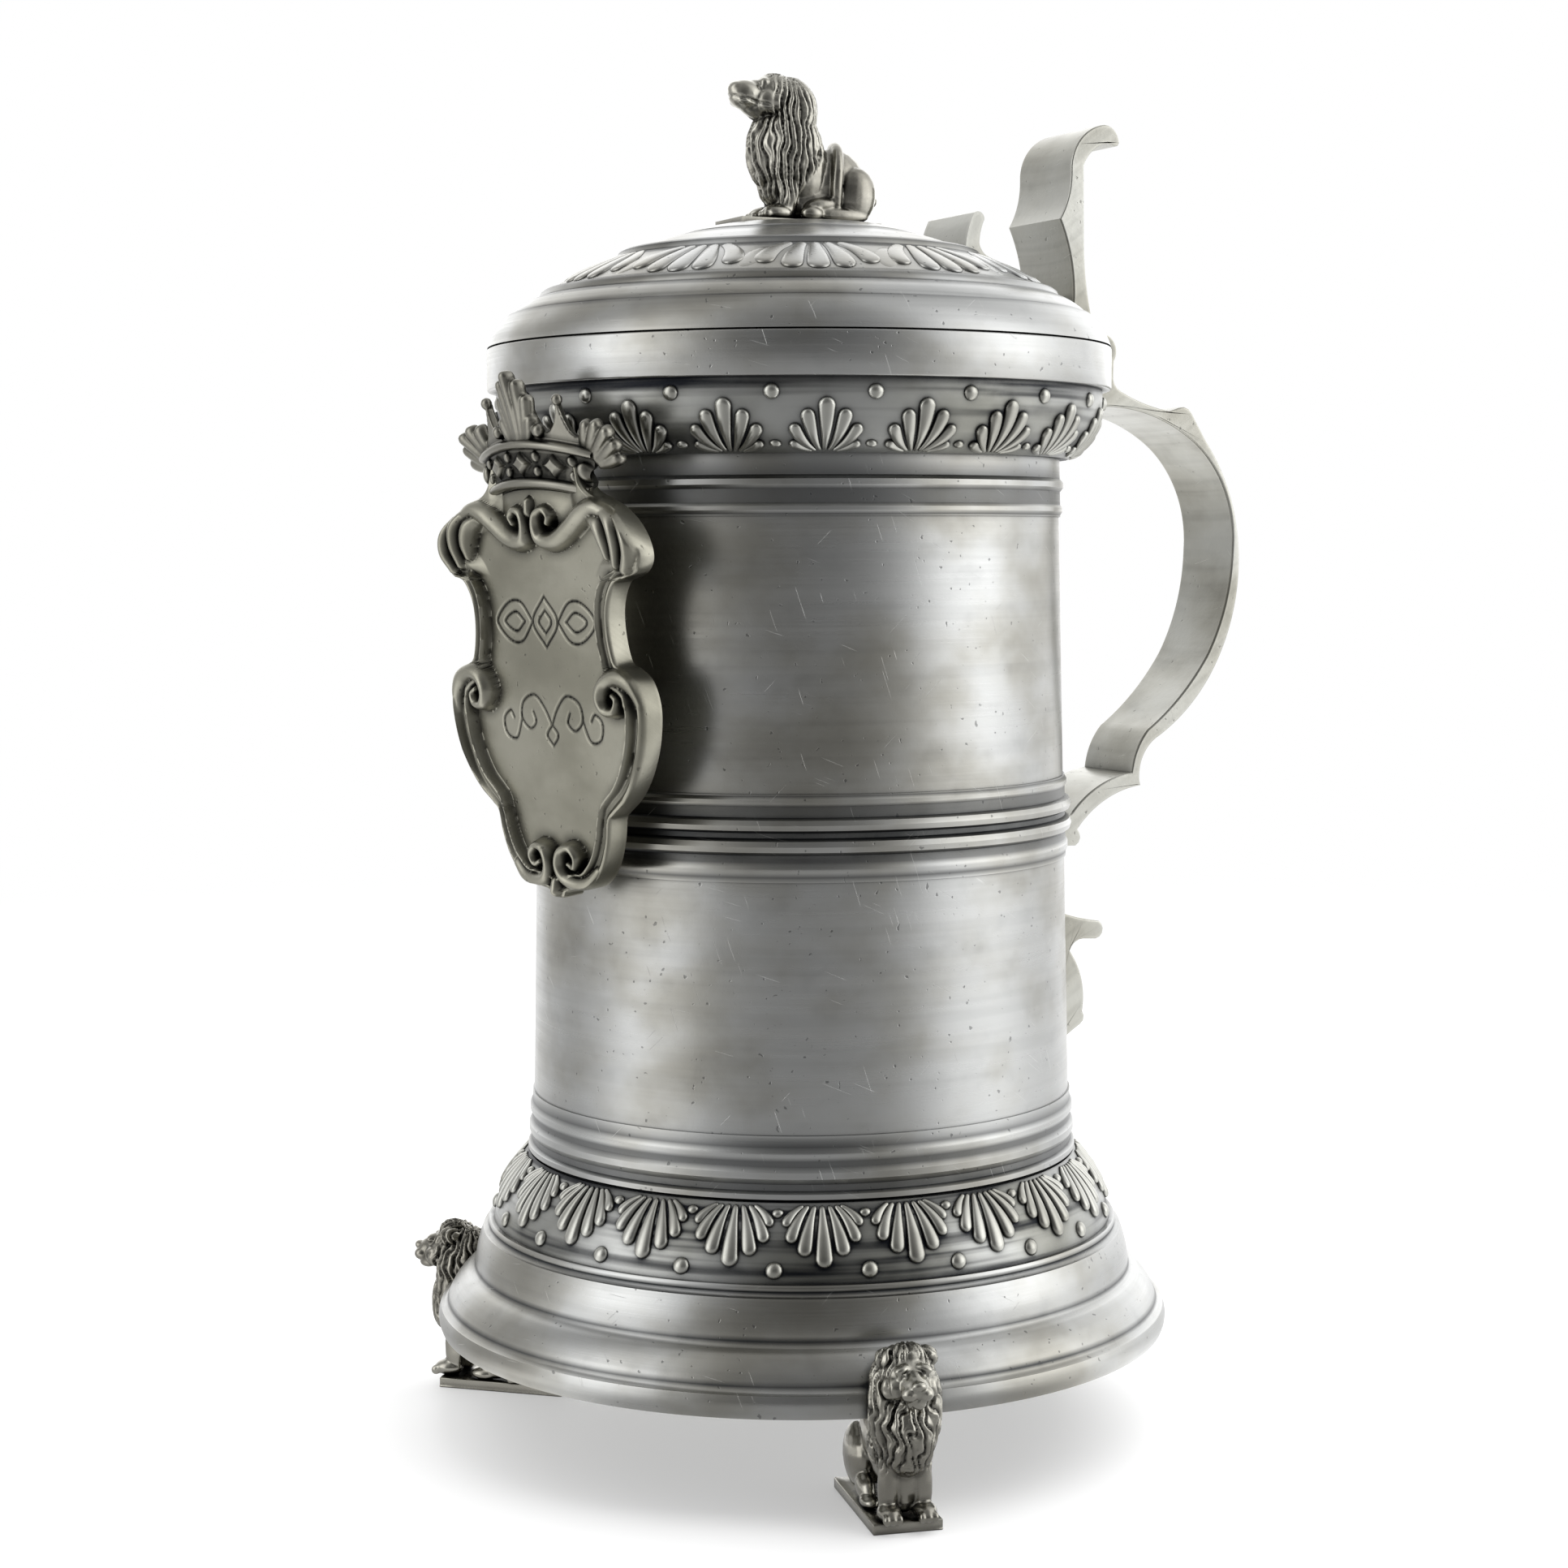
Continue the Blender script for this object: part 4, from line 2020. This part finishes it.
@dataclass
class Studio:
    """White floor, a surround that is bright and dim by turns, and two large soft lights."""

    camera_place: Point = (0.4765, -0.2534, 0.1652)
    azimuth: float = 62.0
    pitch: float = 4.76
    yaw: float = 0.32
    roll: float = -0.19
    lens: float = 65.9
    brightest: float = 4.0
    # What the metal sees round it: bearing from the camera's side in degrees, brightness.
    surround: list[Point] = field(
        default_factory=lambda: [
            (-180, 2.0),
            (-150, 1.8),
            (-128, 0.9),
            (-108, 0.5),
            (-90, 0.9),
            (-72, 2.5),
            (-52, 1.9),
            (-36, 0.4),
            (-15, 0.15),
            (10, 0.15),
            (30, 0.22),
            (48, 0.7),
            (64, 2.1),
            (88, 2.8),
            (108, 1.7),
            (128, 1.5),
            (150, 2.1),
            (180, 2.0),
        ]
    )

    def build(self) -> None:
        """Make the floor, the surround, the lights and the camera."""
        self._floor()
        self._world()
        self._light("soft_key", (0.25, 0.55, 1.5), 1.6, 22.0)
        self._light("soft_fill", (-0.9, -0.5, 1.3), 1.6, 10.0)
        self._camera()
        bpy.context.scene.view_settings.view_transform = "Standard"

    def _floor(self) -> None:
        """Lay a matt white board under the object."""
        deselect_all()
        bpy.ops.mesh.primitive_circle_add(vertices=96, radius=6.0, fill_type="NGON")
        floor = bpy.context.object
        floor.name = "studio_floor"
        board = bpy.data.materials.new("matt_white_board")
        board.use_nodes = True
        tree = board.node_tree
        shader = tree.nodes["Principled BSDF"]
        shader.inputs["Base Color"].default_value = linear("#f4f4f4")
        shader.inputs["Roughness"].default_value = 0.6
        # Far from the object the board is as white as the surround, so no horizon shows.
        place = add_node(tree, "TexCoord").outputs["Object"]
        away = add_node(tree, "VectorMath", {0: place}, operation="LENGTH").outputs["Value"]
        share = add_node(
            tree, "MapRange", {0: away, 1: 0.12, 2: 0.9, 3: 0.35}, interpolation_type="SMOOTHSTEP"
        ).outputs[0]
        white = add_node(tree, "Emission", {"Strength": 1.0}).outputs[0]
        mixed = add_node(tree, "MixShader", {0: share, 1: shader.outputs[0], 2: white}).outputs[0]
        # The metal sees a board that is lit from the bright parts of the surround.
        lit = add_node(
            tree,
            "Mix",
            {0: 0.5, 6: (0.19, 0.19, 0.19, 1), 7: self._round_about(tree, place)},
            data_type="RGBA",
        ).outputs[2]
        grey = add_node(tree, "Emission", {"Color": lit, "Strength": self.brightest}).outputs[0]
        mirrored = add_node(tree, "LightPath").outputs["Is Glossy Ray"]
        board_seen = add_node(tree, "MixShader", {0: mirrored, 1: mixed, 2: grey}).outputs[0]
        tree.links.new(board_seen, tree.nodes["Material Output"].inputs["Surface"])
        floor.data.materials.append(board)

    def _world(self) -> None:
        """Light the object from all round, white behind it and dim on the camera's side."""
        world = bpy.data.worlds.new("studio_surround")
        bpy.context.scene.world = world
        world.use_nodes = True
        tree = world.node_tree
        tree.nodes.clear()
        way = add_node(tree, "TexCoord").outputs["Generated"]
        split = add_node(tree, "SeparateXYZ", {0: way})
        rise = {0: split.outputs[2], 1: 0.45, 2: 1.0, 4: 0.85}
        high = add_node(tree, "MapRange", rise).outputs[0]
        sky = add_node(
            tree,
            "Mix",
            {0: high, 6: self._round_about(tree, way), 7: (0.11, 0.11, 0.11, 1)},
            data_type="RGBA",
        ).outputs[2]
        seen = add_node(tree, "LightPath").outputs["Is Camera Ray"]
        white = (1 / self.brightest,) * 3 + (1,)
        colour = add_node(tree, "Mix", {0: seen, 6: sky, 7: white}, data_type="RGBA").outputs[2]
        backdrop = add_node(tree, "Background", {"Color": colour, "Strength": self.brightest})
        add_node(tree, "OutputWorld", {"Surface": backdrop.outputs[0]})

    def _round_about(self, tree: Tree, way: Socket) -> Socket:
        """Find how bright the surround is on a bearing.

        Args:
            tree: The node tree.
            way: The socket of a direction or a place, of which only the bearing counts.

        Returns:
            A colour socket, as a share of the brightest.
        """
        spin = {"Vector": way, "Angle": math.radians(-self.azimuth)}
        turned = add_node(tree, "VectorRotate", spin, rotation_type="Z_AXIS").outputs[0]
        split = add_node(tree, "SeparateXYZ", [turned]).outputs
        ahead = add_node(tree, "Math", [split[1], -1.0], operation="MULTIPLY").outputs[0]
        bearing = add_node(tree, "Math", [split[0], ahead], operation="ARCTAN2").outputs[0]
        circle = [bearing, 1 / (2 * math.pi), 0.5]
        share = add_node(tree, "Math", circle, operation="MULTIPLY_ADD").outputs[0]
        ramp = add_node(tree, "ValToRGB", [share])
        elements = ramp.color_ramp.elements
        while len(elements) < len(self.surround):
            elements.new(0.5)
        for element, (degrees, bright) in zip(elements, self.surround):
            element.position = degrees / 360 + 0.5
            element.color = (bright / self.brightest,) * 3 + (1,)
        return ramp.outputs[0]

    @staticmethod
    def _light(name: str, place: Point, size: float, power: float) -> None:
        """Hang one square soft light that looks at the tankard.

        Args:
            name: The light's name.
            place: Where it hangs, in metres.
            size: The length of its side, in metres.
            power: Its power in watts.
        """
        lamp = bpy.data.lights.new(name, "AREA")
        lamp.shape, lamp.size, lamp.energy = "SQUARE", size, power
        holder = bpy.data.objects.new(name, lamp)
        bpy.context.scene.collection.objects.link(holder)
        holder.location = place
        holder.visible_glossy = False
        to_middle = Vector((0, 0, 0.1)) - Vector(place)
        holder.rotation_euler = to_middle.to_track_quat("-Z", "Y").to_euler()

    def _camera(self) -> None:
        """Stand the camera where it sees the tankard from."""
        lens = bpy.data.cameras.new("studio_camera")
        lens.lens, lens.sensor_width = self.lens, 36.0
        camera = bpy.data.objects.new("studio_camera", lens)
        bpy.context.scene.collection.objects.link(camera)
        spin = Matrix.Rotation(math.radians(self.azimuth + self.yaw), 4, "Z")
        tilt = Matrix.Rotation(math.radians(90 - self.pitch), 4, "X")
        roll = Matrix.Rotation(math.radians(self.roll), 4, "Z")
        camera.matrix_world = Matrix.Translation(Vector(self.camera_place)) @ spin @ tilt @ roll
        bpy.context.scene.camera = camera


def dress_nodes(finishes: dict[str, Material]) -> None:
    """Give every CAD node its finish.

    Args:
        finishes: Finish name to material.
    """
    for finish, names in NODE_FINISHES.items():
        for name in names:
            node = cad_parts[name]
            node.data.materials.clear()
            node.data.materials.append(finishes[finish])
            log.info("%s: %s", name, finishes[finish].name)


def main() -> None:
    """Build the tankard's pieces in order, then the studio."""
    logging.basicConfig(level=logging.INFO, format="%(name)s: %(message)s", stream=sys.stdout)
    finishes = {
        "turned": TURNED.make(),
        "ground": FRIEZE_GROUND.make(),
        "relief": FRIEZE_RELIEF.make(),
        "strap": STRAP.make(),
        "shield": SHIELD.make(),
        "crown": CROWN.make(),
        "lion": LION.make(),
        "pin": PIN.make(),
    }
    dress_nodes(finishes)
    Studio().build()
    for turning in TURNINGS:
        turning.build(finishes["ground" if turning.slot is Slot.FRIEZE else "turned"])
    for frieze in (collar_frieze(), base_frieze(), lid_frieze()):
        frieze.build(finishes["relief" if frieze.body is Body.TANKARD else "turned"])
    for strap in STRAPS:
        strap.build(finishes["strap"])
    Shield().build(finishes["shield"])
    Crown().build(finishes["crown"])
    FootLion().build(finishes["lion"])
    FinialLion().build(finishes["lion"])


if __name__ == "__main__":
    main()
